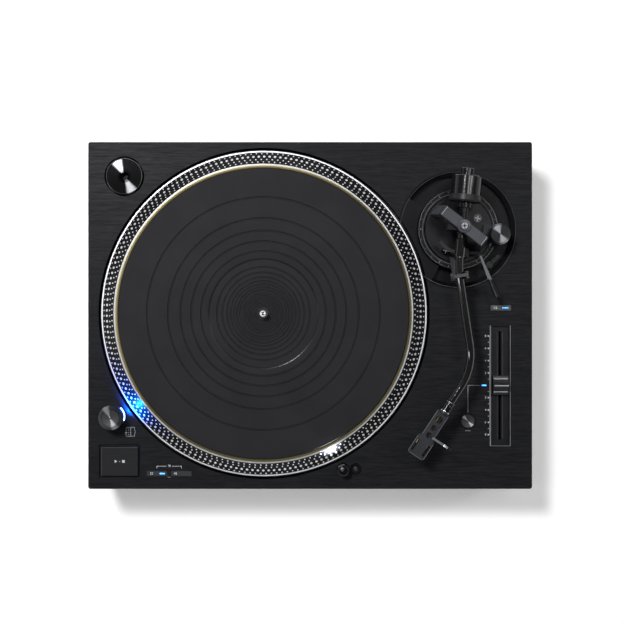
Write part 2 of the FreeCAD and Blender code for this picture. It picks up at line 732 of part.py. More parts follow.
def screw_group(name, places, head_radius, head_height, shank_radius, shank_length, upward=True):
    """Like screws as one group: each a head with a cross slot on a shank that points into its work."""
    screws = []
    for number, (x, y, height) in enumerate(places, start=1):
        head = doc.addObject("Part::Cylinder", f"{name}_{number}_head")
        shank = doc.addObject("Part::Cylinder", f"{name}_{number}_shank")
        for part, radius, length in ((head, head_radius, head_height), (shank, shank_radius, shank_length)):
            part.setExpression("Radius", as_size(radius).text)
            part.setExpression("Height", as_size(length).text)
        head_base = height if upward else height - head_height
        shank_base = height + head_height if upward else height - head_height - shank_length
        put(head, (x, y, head_base))
        put(shank, (x, y, shank_base))
        whole = doc.addObject("Part::MultiFuse", f"{name}_{number}_blank")
        whole.Shapes = [head, shank]
        slots = []
        for turn in (0, 90):
            slot = doc.addObject("Part::Box", f"{name}_{number}_slot_{turn}")
            slot_length = 1.3 * as_size(head_radius)
            slot_width = 0.24 * as_size(head_radius)
            slot_depth = 0.5 * as_size(head_height)
            long, short = (slot_length, slot_width) if turn == 0 else (slot_width, slot_length)
            slot.setExpression("Length", long.text)
            slot.setExpression("Width", short.text)
            slot.setExpression("Height", slot_depth.text)
            slot_base = height if upward else height - slot_depth
            put(slot, (x - long / 2, y - short / 2, slot_base))
            slots.append(slot)
        cross = doc.addObject("Part::MultiFuse", f"{name}_{number}_cross")
        cross.Shapes = slots
        screw = doc.addObject("Part::Cut", f"{name}_{number}")
        screw.Base = whole
        screw.Tool = cross
        screws.append(screw)
    group = doc.addObject("Part::Compound", name)
    group.Label = name
    group.Links = screws
    pieces.append(group)
    doc.recompute()
    return group


def make_top_panel():
    """The thick brushed plate, with every opening that a piece stands in or passes through."""
    body = new_body("top_panel")
    plate = new_sketch(body, "plate", height=casting_top)
    rectangle(plate, deck_width, deck_depth)
    pad(body, plate, size.panel_thickness)
    fillet(body, upright, size.deck_corner)
    chamfer(body, level(deck_top), size.deck_edge)
    through = size.panel_thickness
    hole(body, "well", well_radius, platter_x, platter_y, deck_top, through)
    hole(body, "arm_opening", size.arm_base_radius + size.arm_base_gap, pivot_x, pivot_y, deck_top, through)
    hole(body, "adaptor_recess", size.adaptor_radius + size.adaptor_gap,
         adaptor_x, adaptor_y, deck_top, size.adaptor_depth)
    notch(body, "start_recess", size.start_width + 2 * size.start_recess,
          size.start_depth + 2 * size.start_recess, start_x, start_y, deck_top, size.start_recess)
    notch(body, "start_opening", size.start_width + 2 * size.key_gap,
          size.start_depth + 2 * size.key_gap, start_x, start_y, deck_top, through)
    for name, x, y in (
        ("slow_key", slow_key_x, speed_keys_y),
        ("fast_key", slow_key_x + size.speed_pitch, speed_keys_y),
        ("range_key", range_key_x, range_key_y),
    ):
        notch(body, name, size.key_width + 2 * size.key_gap, size.key_depth + 2 * size.key_gap,
              x, y, deck_top, through)
    notch(body, "zero_light", size.zero_light_length, size.zero_light_width,
          zero_light_x, zero_light_y, deck_top, size.key_travel * 2)
    hole(body, "lamp", size.lamp_radius + size.key_gap, lamp_x, lamp_y, deck_top, through)
    hole(body, "lamp_button", size.lamp_button_radius + size.key_gap,
         lamp_button_x, lamp_y, deck_top, through)
    notch(body, "fader", size.fader_width, size.fader_length, fader_x, fader_y, deck_top, through)
    hole(body, "reset_recess", size.reset_radius + size.reset_recess,
         reset_x, reset_y, deck_top, size.reset_recess)
    hole(body, "reset", size.reset_radius + size.key_gap, reset_x, reset_y, deck_top, through)


def make_cabinet_casting():
    """The cast frame under the panel: the platter well, the motor bay and pockets for the controls."""
    body = new_body("cabinet_casting")
    block = new_sketch(body, "block", height=base_top)
    rectangle(block, deck_width - 2 * size.casting_inset, deck_depth - 2 * size.casting_inset)
    pad(body, block, size.casting_height)
    fillet(body, upright, size.deck_corner)
    chamfer(body, level(base_top), size.casting_inset)
    hole(body, "well", well_radius + size.casting_inset, platter_x, platter_y,
         casting_top, size.well_depth)
    hole(body, "motor_bay", motor_bay_radius, platter_x, platter_y, well_floor, motor_bay_depth)
    hole(body, "bearing", size.bearing_radius, platter_x, platter_y, bay_floor, size.casting_height)
    hole(body, "arm_seat", size.arm_base_radius + size.arm_base_gap, pivot_x, pivot_y,
         casting_top, size.arm_base_depth - size.panel_thickness)
    hole(body, "arm_boss", size.arm_boss_radius, pivot_x, pivot_y,
         casting_top, size.arm_boss_depth - size.panel_thickness)
    notch(body, "fader", size.fader_width, size.fader_length, fader_x, fader_y,
          casting_top, size.fader_depth - size.panel_thickness)
    hole(body, "lamp", size.lamp_radius + size.key_gap, lamp_x, lamp_y, casting_top, lamp_well_depth)


def make_inner_base():
    """The moulded tray inside the rubber base, with bays for the board, the supply and the bearing."""
    body = new_body("inner_base")
    width = deck_width - 2 * (size.rubber_inset + size.rubber_wall)
    depth = deck_depth - 2 * (size.rubber_inset + size.rubber_wall)
    floor = base_bottom + size.rubber_floor
    height = size.rubber_height - size.rubber_floor
    block = new_sketch(body, "block", height=floor)
    rectangle(block, width, depth)
    pad(body, block, height)
    fillet(body, upright, size.rubber_wall / 2)
    hole(body, "bearing", size.bearing_flange, platter_x, platter_y, base_top, bearing_bay_depth)
    notch(body, "board_bay", board_width + board_room, board_depth + board_room,
          board_x, board_y, base_top, height - board_floor)
    notch(body, "supply_bay", supply_width + board_room, supply_depth + board_room,
          supply_x, supply_y, base_top, height - board_floor)
    for name, x, reach in (("phono", phono_x, size.phono_width), ("mains", mains_x, size.mains_width)):
        notch(body, f"{name}_alcove", reach, 2 * size.alcove_depth,
              x, deck_depth / 2, base_top, base_top - size.alcove_low)
    for number, (x, y) in enumerate(foot_places, start=1):
        hole(body, f"stud_{number}", stud_hole, x, y, base_top, height)


def make_rubber_base():
    """The heavy rubber tray that the moulding sits in, open at the rear for the two alcoves."""
    body = new_body("rubber_base")
    block = new_sketch(body, "block", height=base_top)
    rectangle(block, deck_width - 2 * size.rubber_inset, deck_depth - 2 * size.rubber_inset)
    made = pad(body, block, size.rubber_height, draft=-size.rubber_draft)
    made.Reversed = True
    doc.recompute()
    fillet(body, upright, size.deck_corner)
    chamfer(body, level(base_bottom), size.rubber_inset)
    tray = new_sketch(body, "tray", height=base_top)
    rectangle(tray, deck_width - 2 * (size.rubber_inset + size.rubber_wall),
              deck_depth - 2 * (size.rubber_inset + size.rubber_wall))
    pocket(body, tray, size.rubber_height - size.rubber_floor, "tray_cut")
    for name, x, reach in (("phono", phono_x, size.phono_width), ("mains", mains_x, size.mains_width)):
        notch(body, f"{name}_alcove", reach, 2 * size.alcove_depth,
              x, deck_depth / 2, base_top, base_top - size.alcove_low)
    floor = base_bottom + size.rubber_floor
    for number, (x, y) in enumerate(foot_places, start=1):
        hole(body, f"stud_{number}", stud_hole, x, y, floor, size.rubber_floor)
    for number, (x, y) in enumerate(base_screw_places, start=1):
        hole(body, f"screw_{number}", base_screw_radius, x, y, floor, size.rubber_floor)


def make_foot(name, x, y):
    """A screw foot: a stud, a neck, a flared housing and a rubber ring on the floor."""
    body = new_body(name, (x, y, 0))
    pad_height = 4
    shoulder = size.foot_height - 5
    turned(body, [
        (0, 0),
        (size.foot_pad_radius, 0),
        (size.foot_pad_radius, pad_height),
        (size.foot_radius, pad_height + 1.5),
        (size.foot_radius, shoulder - 3),
        (size.foot_radius - 3, shoulder),
        (size.foot_neck_radius, shoulder),
        (size.foot_neck_radius, size.foot_height - 0.1),
        (size.foot_stud_radius, size.foot_height - 0.1),
        (size.foot_stud_radius, size.foot_height + size.foot_stud_length - 1),
        (size.foot_stud_radius - 1, size.foot_height + size.foot_stud_length),
        (0, size.foot_height + size.foot_stud_length),
    ])


def make_platter():
    """The turning assembly: casting, brass plate, damping rubber, mat, spindle and the two rotors."""
    place = (platter_x, platter_y, 0)
    lip_inner = size.platter_radius - size.platter_lip
    lip_top = deck_top + size.platter_lip_rise
    skirt_bottom = deck_top - size.platter_drop
    skirt_inner = size.platter_radius - size.platter_wall
    rim_inner = platter_rim_radius - size.platter_wall
    casting = new_body("platter_casting", place)
    turned(casting, [
        (size.shaft_radius, hub_bottom),
        (size.hub_radius, hub_bottom),
        (size.hub_radius + size.platter_wall, web_bottom),
        (rim_inner, web_bottom),
        (skirt_inner, deck_top),
        (skirt_inner, skirt_bottom),
        (size.platter_radius, skirt_bottom),
        (size.platter_radius, lip_top),
        (lip_inner, lip_top),
        (platter_rim_radius, rim_top),
        (brass_radius, rim_top),
        (brass_radius, web_top),
        (size.shaft_radius, web_top),
    ])
    brass = new_body("platter_brass_plate", place)
    turned(brass, [
        (size.shaft_radius, web_top),
        (brass_radius, web_top),
        (brass_radius, rim_top),
        (brass_radius - size.brass_bevel / 2, rim_top),
        (mat_radius + mat_clearance, rim_top - size.brass_bevel),
        (mat_radius + mat_clearance, mat_seat),
        (size.shaft_radius, mat_seat),
    ])
    damping = new_body("platter_damping", place)
    turned(damping, [
        (size.rotor_radius + size.platter_wall, web_bottom - size.damping_thickness),
        (rim_inner - size.damping_thickness, web_bottom - size.damping_thickness),
        (rim_inner - size.damping_thickness, web_bottom),
        (size.rotor_radius + size.platter_wall, web_bottom),
    ])
    make_mat(place)
    make_spindle(place)
    yoke = new_body("rotor_yoke", place)
    turned(yoke, [
        (size.shaft_radius, upper_yoke),
        (hub_bore, upper_yoke),
        (hub_bore, lower_yoke),
        (size.rotor_radius, lower_yoke),
        (size.rotor_radius, lower_yoke + size.rotor_thickness),
        (size.hub_radius, lower_yoke + size.rotor_thickness),
        (size.hub_radius, upper_yoke),
        (size.rotor_radius, upper_yoke),
        (size.rotor_radius, hub_bottom),
        (size.shaft_radius, hub_bottom),
    ])
    make_magnets(place)


def make_mat(place):
    """The rubber mat: a step down to the label and ring grooves that a record bridges."""
    mat = new_body("platter_mat", place)
    top = mat_top
    label_floor = top - size.mat_step
    points = [
        (spindle_collar + mat_clearance, mat_seat),
        (mat_radius, mat_seat),
        (mat_radius, top - size.mat_step),
        (mat_radius - size.mat_step, top),
    ]
    half = mat_groove_width / 2
    for middle in mat_grooves:
        points += [(middle + half, top), (middle, top - size.mat_step), (middle - half, top)]
    points += [
        (size.mat_label_radius + half, top),
        (size.mat_label_radius, label_floor),
        (spindle_collar + mat_clearance, label_floor),
    ]
    turned(mat, points)


def make_spindle(place):
    """The record spindle in one piece with its bearing shaft, with a rounded tip."""
    tip = deck_top + size.spindle_rise
    spindle = new_body("spindle", place)
    turned(spindle, [
        (0, shaft_bottom),
        (size.shaft_radius - 1, shaft_bottom),
        (size.shaft_radius, shaft_bottom + 1),
        (size.shaft_radius, mat_seat),
        (spindle_collar, mat_seat),
        (spindle_collar, mat_top),
        (size.spindle_radius, mat_top),
        (size.spindle_radius, tip - 3),
        (size.spindle_radius * 0.85, tip - 1.4),
        (size.spindle_radius * 0.5, tip - 0.3),
        (size.spindle_radius * 0.25, tip),
        (0, tip),
    ])


def make_magnets(place):
    """One magnet ring on each rotor yoke, facing the coils from above and below."""
    rings = []
    bottoms = {"upper": upper_yoke - size.magnet_thickness, "lower": lower_yoke + size.rotor_thickness}
    for name, bottom in bottoms.items():
        tubes = []
        for part, radius in (("outer", size.magnet_outer), ("inner", size.magnet_inner)):
            tube = doc.addObject("Part::Cylinder", f"magnet_{name}_{part}")
            tube.setExpression("Radius", radius.text)
            tube.setExpression("Height", size.magnet_thickness.text)
            put(tube, (place[0], place[1], bottom))
            tubes.append(tube)
        ring = doc.addObject("Part::Cut", f"magnet_{name}")
        ring.Base = tubes[0]
        ring.Tool = tubes[1]
        rings.append(ring)
    group = doc.addObject("Part::Compound", "rotor_magnets")
    group.Label = "rotor_magnets"
    group.Links = rings
    pieces.append(group)
    doc.recompute()


def make_motor():
    """The fixed side of the motor: the bearing housing, its bushes and the coil board."""
    place = (platter_x, platter_y, 0)
    flange_bottom = base_top - bearing_flange_thickness
    housing = new_body("bearing_housing", place)
    turned(housing, [
        (0, bearing_bottom),
        (size.bearing_radius, bearing_bottom),
        (size.bearing_radius, flange_bottom),
        (size.bearing_flange - size.ring_gap, flange_bottom),
        (size.bearing_flange - size.ring_gap, base_top),
        (size.bearing_radius, base_top),
        (size.bearing_radius, bearing_top),
        (size.bush_radius, bearing_top),
        (size.bush_radius, shaft_bottom - shaft_end_gap),
        (0, shaft_bottom - shaft_end_gap),
    ])
    tubes = []
    bottoms = {"top": bearing_top - size.bush_length, "bottom": shaft_bottom + size.bush_length}
    for name, bottom in bottoms.items():
        ends = []
        for part, radius in (("outer", size.bush_radius), ("bore", size.shaft_radius + size.shaft_gap)):
            tube = doc.addObject("Part::Cylinder", f"bush_{name}_{part}")
            tube.setExpression("Radius", radius.text)
            tube.setExpression("Height", size.bush_length.text)
            put(tube, (place[0], place[1], bottom))
            ends.append(tube)
        bush = doc.addObject("Part::Cut", f"bush_{name}")
        bush.Base = ends[0]
        bush.Tool = ends[1]
        tubes.append(bush)
    group = doc.addObject("Part::Compound", "bearing_bushes")
    group.Label = "bearing_bushes"
    group.Links = tubes
    pieces.append(group)
    stator = new_body("stator", place)
    board_bottom = coil_bottom + size.coil_height
    inner = size.hub_radius + stator_clearance
    outer = motor_bay_radius + stator_shoulder
    turned(stator, [
        (inner, board_bottom),
        (motor_bay_radius + stator_clearance, board_bottom),
        (motor_bay_radius + stator_clearance, well_floor),
        (outer, well_floor),
        (outer, board_bottom + size.stator_thickness),
        (inner, board_bottom + size.stator_thickness),
    ])
    coil = new_sketch(stator, "coil", height=coil_bottom)
    circle(coil, size.coil_radius, (size.magnet_inner + size.magnet_outer) / 2, 0)
    first = pad(stator, coil, size.stator_thickness + 2 * size.coil_height, "coil_pad")
    round_pattern(stator, first, size.coil_count)


def make_inner_electrics():
    """The circuit board and the power supply, closed in by the base."""
    floor = base_bottom + size.rubber_floor + board_floor
    board = new_body("main_board", (board_x, board_y, floor))
    legs = new_sketch(board, "legs")
    for side_x in (-1, 1):
        for side_y in (-1, 1):
            circle(legs, 3, side_x * (board_width / 2 - 6), side_y * (board_depth / 2 - 6))
    plate = new_sketch(board, "plate", height=board_leg)
    rectangle(plate, board_width, board_depth)
    pad(board, plate, 1.6, "plate_pad")
    pad(board, legs, board_leg + 0.8, "legs_pad")
    chips = new_sketch(board, "chips", height=board_leg + 0.8)
    rectangle(chips, 24, 24, -20, 5)
    rectangle(chips, 12, 18, 25, -8)
    rectangle(chips, 30, 8, 55, 20)
    pad(board, chips, 5, "chips_pad")
    supply = new_body("power_supply", (supply_x, supply_y, floor))
    case = new_sketch(supply, "case")
    rectangle(case, supply_width, supply_depth)
    pad(supply, case, 12)
    core = new_sketch(supply, "core", height=11)
    rectangle(core, supply_width * 0.6, supply_depth * 0.4, 0, 12)
    pad(supply, core, 7, "core_pad")


def make_adaptor():
    """The single adaptor: a spun disc in its recess, with a hole for the spindle."""
    body = new_body("adaptor_45", (adaptor_x, adaptor_y, 0))
    floor = deck_top - size.adaptor_depth + seat_gap
    top = deck_top + size.adaptor_rise
    edge = size.adaptor_radius
    turned(body, [
        (size.adaptor_hole, floor),
        (edge - 1, floor),
        (edge, floor + 1),
        (edge, top - 2),
        (edge - 0.8, top - 1.2),
        (edge * 0.35, top - 0.5),
        (size.adaptor_hole + 0.6, top),
        (size.adaptor_hole, top - 0.6),
    ])


def make_strobe_tower():
    """The fixed tower with its curved window, and the power knob that turns on top of it."""
    tower_top = deck_top + size.tower_rise
    lens_low = deck_top + lens_sill
    lens_start = size.lens_middle - size.lens_angle / 2
    tower = new_body("strobe_tower", (tower_x, tower_y, 0))
    turned(tower, [
        (stem_radius, deck_top),
        (size.tower_radius, deck_top),
        (size.tower_radius, tower_top - 0.6),
        (size.tower_radius - 0.6, tower_top),
        (stem_radius, tower_top),
    ])
    window = new_sketch(tower, "window", height=lens_low)
    arc_band(window, size.tower_radius - lens_wall, size.tower_radius + 1, lens_start, size.lens_angle)
    pocket(tower, window, lens_height, "window_cut", reverse=True)
    lens = new_body("strobe_lens", (tower_x, tower_y, 0))
    glass = new_sketch(lens, "glass", height=lens_low)
    arc_band(glass, size.tower_radius - lens_wall, size.tower_radius, lens_start, size.lens_angle)
    pad(lens, glass, lens_height)
    knob_top = deck_top + size.knob_rise
    knob = new_body("power_knob", (tower_x, tower_y, 0))
    turned(knob, [
        (0, deck_top + seat_gap),
        (stem_radius - size.key_gap, deck_top + seat_gap),
        (stem_radius - size.key_gap, tower_top + size.key_gap),
        (size.knob_radius, tower_top + size.key_gap),
        (size.knob_radius, knob_top - 3.2),
        (size.knob_top_radius, knob_top),
        (size.knob_top_radius - 0.8, knob_top - 0.4),
        (1.2, knob_top - 0.9),
        (0, knob_top - 0.5),
    ])
    flute = new_sketch(knob, "flute", height=tower_top)
    circle(flute, knob_flute, size.knob_radius + knob_flute * 0.6, 0)
    cut = pocket(knob, flute, size.knob_rise, "flute_cut", reverse=True)
    round_pattern(knob, cut, knob_flutes)


def make_key(name, width, depth, x, y, rise, length, edge=0.5):
    """A flat key that stands a little proud of the deck."""
    body = new_body(name, (x, y, deck_top + rise - length))
    face = new_sketch(body, "face")
    rectangle(face, width, depth)
    pad(body, face, length)
    fillet(body, upright, edge + 0.3)
    chamfer(body, level(length), edge)
    return body


def make_keys():
    make_key("start_stop_button", size.start_width, size.start_depth, start_x, start_y,
             size.start_rise, size.key_length + size.start_rise, edge=0.8)
    for name, x, y in (
        ("speed_33_key", slow_key_x, speed_keys_y),
        ("speed_45_key", slow_key_x + size.speed_pitch, speed_keys_y),
        ("range_key", range_key_x, range_key_y),
    ):
        make_key(name, size.key_width, size.key_depth, x, y, size.key_rise, size.key_length)
    light = new_body("zero_light", (zero_light_x, zero_light_y, deck_top - 2 * size.key_travel))
    face = new_sketch(light, "face")
    rectangle(face, size.zero_light_length, size.zero_light_width)
    pad(light, face, 2 * size.key_travel)
    reset = new_body("reset_button", (reset_x, reset_y, deck_top))
    turned(reset, [
        (0, size.key_rise - size.key_length),
        (size.reset_radius, size.key_rise - size.key_length),
        (size.reset_radius, size.key_rise - 0.4),
        (size.reset_radius - 0.5, size.key_rise),
        (0, size.key_rise - 0.5),
    ])


def make_stylus_lamp():
    """The pop-up lamp, raised, and the button beside it that releases it."""
    top = deck_top + size.lamp_rise
    lamp = new_body("stylus_lamp", (lamp_x, lamp_y, 0))
    turned(lamp, [
        (0, deck_top - size.lamp_stem),
        (size.lamp_radius, deck_top - size.lamp_stem),
        (size.lamp_radius, top - 1),
        (size.lamp_radius - 1, top),
        (0, top),
    ])
    window = new_sketch(lamp, "window", "XZ_Plane")
    outline(window, [
        (-size.lamp_radius - 1, top - 6.2),
        (-size.lamp_radius * 0.45, top - 5.2),
        (-size.lamp_radius * 0.45, top - 2.4),
        (-size.lamp_radius - 1, top - 2),
    ])
    before = lamp.Shape.Volume
    cut = feature(lamp, "Pocket", "window_cut", window)
    cut.Midplane = True
    cut.setExpression("Length", (size.lamp_radius * 1.3).text)
    doc.recompute()
    if lamp.Shape.Volume > before - 1:
        raise RuntimeError("the lamp window removes nothing")
    lamp.setExpression("Placement.Rotation.Angle", lamp_turn.text)
    button = new_body("lamp_button", (lamp_button_x, lamp_y, deck_top))
    turned(button, [
        (0, size.key_rise - size.key_length),
        (size.lamp_button_radius, size.key_rise - size.key_length),
        (size.lamp_button_radius, size.key_rise - 0.5),
        (size.lamp_button_radius - 0.5, size.key_rise),
        (0, size.key_rise - 0.3),
    ])


def make_pitch_fader():
    """The fader frame with its slot, and the slider whose stem runs in it."""
    frame = new_body("pitch_frame", (fader_x, fader_y, deck_top))
    block = new_sketch(frame, "block", height=-size.fader_depth)
    rectangle(block, size.fader_width, size.fader_length)
    pad(frame, block, size.fader_depth + fader_lip)
    chamfer(frame, level(fader_lip), 0.4)
    notch(frame, "recess", size.fader_width - 2 * size.fader_rim, size.fader_length - 2 * fader_end_rim,
          0, 0, fader_lip, size.fader_recess + fader_lip)
    notch(frame, "slot", size.fader_slot, size.fader_slot_length, 0, 0,
          -size.fader_recess, size.fader_depth - size.fader_recess - 1)
    slider = new_body("pitch_slider", (fader_x, fader_y + slider_rest, deck_top))
    knob = new_sketch(slider, "knob", "YZ_Plane")
    half = size.slider_length / 2
    base = -size.fader_recess + size.key_gap
    outline(knob, [
        (-half, base),
        (half, base),
        (half, size.slider_low - 1),
        (half - 1, size.slider_low),
        (half * 0.66, size.slider_low + 0.2),
        (half * 0.3, size.slider_high - 2.4),
        (half * 0.16, size.slider_high),
        (-half * 0.16, size.slider_high),
        (-half * 0.3, size.slider_high - 2.4),
        (-half * 0.66, size.slider_low + 0.2),
        (1 - half, size.slider_low),
        (-half, size.slider_low - 1),
    ])
    made = pad(slider, knob, size.slider_width)
    made.Midplane = True
    doc.recompute()
    stem = new_sketch(slider, "stem", height=stem_depth - size.fader_depth)
    rectangle(stem, size.fader_slot - 2 * slot_play, slider_stem)
    pad(slider, stem, size.fader_depth - stem_depth + base + 1, "stem_pad")


def make_arm_base():
    """The arm base: a pad on the platter side, a bevelled trough elsewhere and the seat of the ring."""
    body = new_body("arm_base", (pivot_x, pivot_y, 0))
    disc = new_sketch(body, "disc", height=deck_top - size.arm_base_depth)
    circle(disc, size.arm_base_radius)
    pad(body, disc, size.arm_base_depth, "disc_pad")
    boss = new_sketch(body, "boss", height=deck_top - size.arm_boss_depth)
    circle(boss, size.arm_boss_radius)
    pad(body, boss, size.arm_boss_depth - size.trough_depth, "boss_pad")
    trough = new_sketch(body, "trough", height=deck_top)
    arc_band(trough, trough_inner, size.trough_outer, size.trough_start, size.trough_sweep)
    pocket(body, trough, size.trough_depth, "trough_cut")
    rim = size.trough_outer.number

    def outer_rim(edge):
        curve = edge.Curve
        return level(deck_top)(edge) and hasattr(curve, "Radius") and abs(curve.Radius - rim) < 0.01

    bevel = chamfer(body, outer_rim, size.trough_bevel, "bevel")
    bevel.ChamferType = "Two distances"
    bevel.setExpression("Size2", size.trough_bevel_drop.text)
    doc.recompute()
    hole(body, "platter_side", well_radius, platter_x - pivot_x, platter_y - pivot_y,
         deck_top, size.arm_base_depth)
    hole(body, "ring_seat", ring_seat_radius, 0, 0, deck_top, size.ring_seat)
    hole(body, "bore", size.sleeve_radius + size.sleeve_gap, 0, 0, deck_top, size.arm_boss_depth)


def make_height_ring():
    """The ring that raises the arm as it turns, with grooves for the fingers."""
    top = deck_top + size.ring_rise
    floor = deck_top - size.ring_seat + seat_gap
    ring = new_body("height_ring", (pivot_x, pivot_y, 0))
    turned(ring, [
        (size.ring_inner, floor),
        (size.ring_outer, floor),
        (size.ring_outer, top - 0.6),
        (size.ring_outer - 0.6, top),
        (size.ring_outer - 2.4, top),
        (size.ring_outer - 2.8, top - 0.4),
        (size.ring_inner, top - 0.4),
    ])
    groove = new_sketch(ring, "groove", height=deck_top)
    circle(groove, ring_groove, size.ring_outer + ring_groove * 0.5, 0)
    cut = pocket(ring, groove, size.ring_rise, "groove_cut", reverse=True)
    round_pattern(ring, cut, size.ring_flutes)


def make_arm_platform():
    """The plate that rises with the arm: guide sleeve, pivot post and the bearing of the cue shaft."""
    low = platform_top - size.platform_thickness
    sleeve_inner = size.sleeve_radius - size.sleeve_wall
    sleeve_bottom = deck_top - size.sleeve_depth
    body = new_body("arm_platform", (pivot_x, pivot_y, 0))
    turned(body, [
        (0, low),
        (sleeve_inner, low),
        (sleeve_inner, sleeve_bottom),
        (size.sleeve_radius, sleeve_bottom),
        (size.sleeve_radius, low),
        (size.platform_radius, low),
        (size.platform_radius, platform_top - 0.5),
        (size.platform_radius - 0.5, platform_top),
        (0, platform_top),
    ])
    post = new_sketch(body, "post", height=platform_top)
    circle(post, post_radius)
    pad(body, post, ring_bottom - 1 - platform_top, "post_pad")
    hole(body, "pivot", size.pivot_radius + size.pivot_gap, 0, 0, ring_bottom - 1, pivot_reach)
    bracket = new_sketch(body, "bracket", height=platform_top)
    rectangle(bracket, bracket_width, bracket_depth,
              size.cue_shaft_start + bracket_width / 2 + 0.4, size.cue_axis_y)
    pad(body, bracket, size.cue_axis_rise + bracket_depth / 2 - size.platform_rise, "bracket_pad")
    bore = new_sketch(body, "cue_bore", "YZ_Plane", height=size.cue_shaft_start - 1)
    circle(bore, size.cue_shaft_radius + size.pivot_gap, size.cue_axis_y, deck_top + size.cue_axis_rise)
    pocket(body, bore, bracket_width + 3, "cue_bore_cut", reverse=True)
    for number, (x, y) in enumerate(platform_screws, start=1):
        hole(body, f"screw_{number}", arm_screw_shank, x, y, platform_top, arm_screw_length)
    hole(body, "lift_post", lift_post_radius + size.pivot_gap,
         size.lift_radius * cosine(size.lift_post_angle), size.lift_radius * sine(size.lift_post_angle),
         platform_top, size.platform_thickness - 0.6)


def make_gimbal():
    """The bridge over the pivot and the ring that turns below it and carries the arm."""
    top = deck_top + size.bridge_rise
    under = top - size.bridge_thickness
    bridge = new_body("gimbal_bridge", (pivot_x, pivot_y, 0), size.bridge_turn)
    arch = new_sketch(bridge, "arch", "XZ_Plane")
    foot = size.bridge_foot / 2
    shoulder = size.bridge_span / 2
    inside = size.bridge_inside / 2
    inside_foot = foot - bridge_leg
    outline(arch, [
        (-foot, platform_top),
        (-inside_foot, platform_top),
        (-inside, under - 3),
        (3 - inside, under),
        (inside - 3, under),
        (inside, under - 3),
        (inside_foot, platform_top),
        (foot, platform_top),
        (shoulder, top),
        (-shoulder, top),
    ])
    made = pad(bridge, arch, size.bridge_width)
    made.Midplane = True
    doc.recompute()
    chamfer(bridge, level(top), 0.7)
    boss = new_sketch(bridge, "boss", height=under)
    circle(boss, size.bridge_boss_radius)
    pad(bridge, boss, size.bridge_thickness + size.bridge_boss_rise, "boss_pad")
    chamfer(bridge, level(top + size.bridge_boss_rise), 0.5, "boss_chamfer")
    hole(bridge, "pivot", size.pivot_radius + size.pivot_gap, 0, 0,
         top + size.bridge_boss_rise, size.bridge_thickness + size.bridge_boss_rise)
    ring = new_body("gimbal_ring", (pivot_x, pivot_y, arm_axis), first_run_turn)
    frame = new_sketch(ring, "frame", "YZ_Plane")
    rectangle(frame, size.ring_frame_width, size.ring_frame_height)
    rectangle(frame, size.ring_frame_width - 2 * size.ring_frame_wall,
              size.ring_frame_height - 2 * size.ring_frame_bridge)
    made = pad(ring, frame, size.ring_frame_depth)
    made.Midplane = True
    doc.recompute()
    half_height = size.ring_frame_height / 2
    for name, height, reach in (
        ("top_pivot", half_height - 0.5, size.bridge_rise - size.arm_height - half_height - 1.5),
        ("bottom_pivot", -half_height - pivot_reach + 1, pivot_reach - 0.5),
    ):
        pin = new_sketch(ring, name, height=height)
        circle(pin, size.pivot_radius)
        pad(ring, pin, reach, f"{name}_pad")
    side = new_sketch(ring, "trunnion", "XZ_Plane")
    circle(side, size.trunnion_radius + size.pivot_gap)
    before = ring.Shape.Volume
    cut = feature(ring, "Pocket", "trunnion_cut", side)
    cut.Midplane = True
    cut.setExpression("Length", (size.ring_frame_width + 2).text)
    doc.recompute()
    if ring.Shape.Volume > before - 1:
        raise RuntimeError("the trunnion holes remove nothing")


def make_arm_screws():
    """The top pivot screw and the two screws that hold the platform."""
    boss_top = deck_top + size.bridge_rise + size.bridge_boss_rise
    places = [(pivot_x, pivot_y, boss_top + arm_screw_height)]
    for x, y in platform_screws:
        places.append((pivot_x + x, pivot_y + y, platform_top + arm_screw_height))
    screw_group("arm_screws", places, arm_screw_head, arm_screw_height, arm_screw_shank,
                arm_screw_length - 0.8, upward=False)


def make_rear_shaft():
    """The bearing block with its two trunnions, and the threaded shaft for the counterweight."""
    body = new_body("arm_rear_shaft", (pivot_x, pivot_y, arm_axis), first_run_turn)
    turned(body, [
        (-size.rear_end, 0),
        (-size.rear_end, size.rear_thread_radius - 1),
        (1 - size.rear_end, size.rear_thread_radius),
        (-size.rear_thread_start, size.rear_thread_radius),
        (-size.rear_thread_start, size.rear_radius),
        (-size.block_half_length, size.rear_radius),
        (-size.block_half_length, size.block_radius),
        (size.block_half_length, size.block_radius),
        (size.block_half_length, 0),
    ], x_axis=True)
    pins = new_sketch(body, "trunnions", "XZ_Plane")
    circle(pins, size.trunnion_radius)
    made = pad(body, pins, size.ring_frame_width - 2, "trunnion_pad")
    made.Midplane = True
    doc.recompute()


def bend_points(corner, direction_in, direction_out, radius):
    """Where a bend of a given radius leaves one run and joins the next."""
    half_turn = (direction_out - direction_in) / 2
    sign = 1 if half_turn.number > 0 else -1
    reach = sign * radius * tangent(half_turn)
    start = (corner[0] - reach * cosine(direction_in), corner[1] - reach * sine(direction_in))
    end = (corner[0] + reach * cosine(direction_out), corner[1] + reach * sine(direction_out))
    return start, end, sign


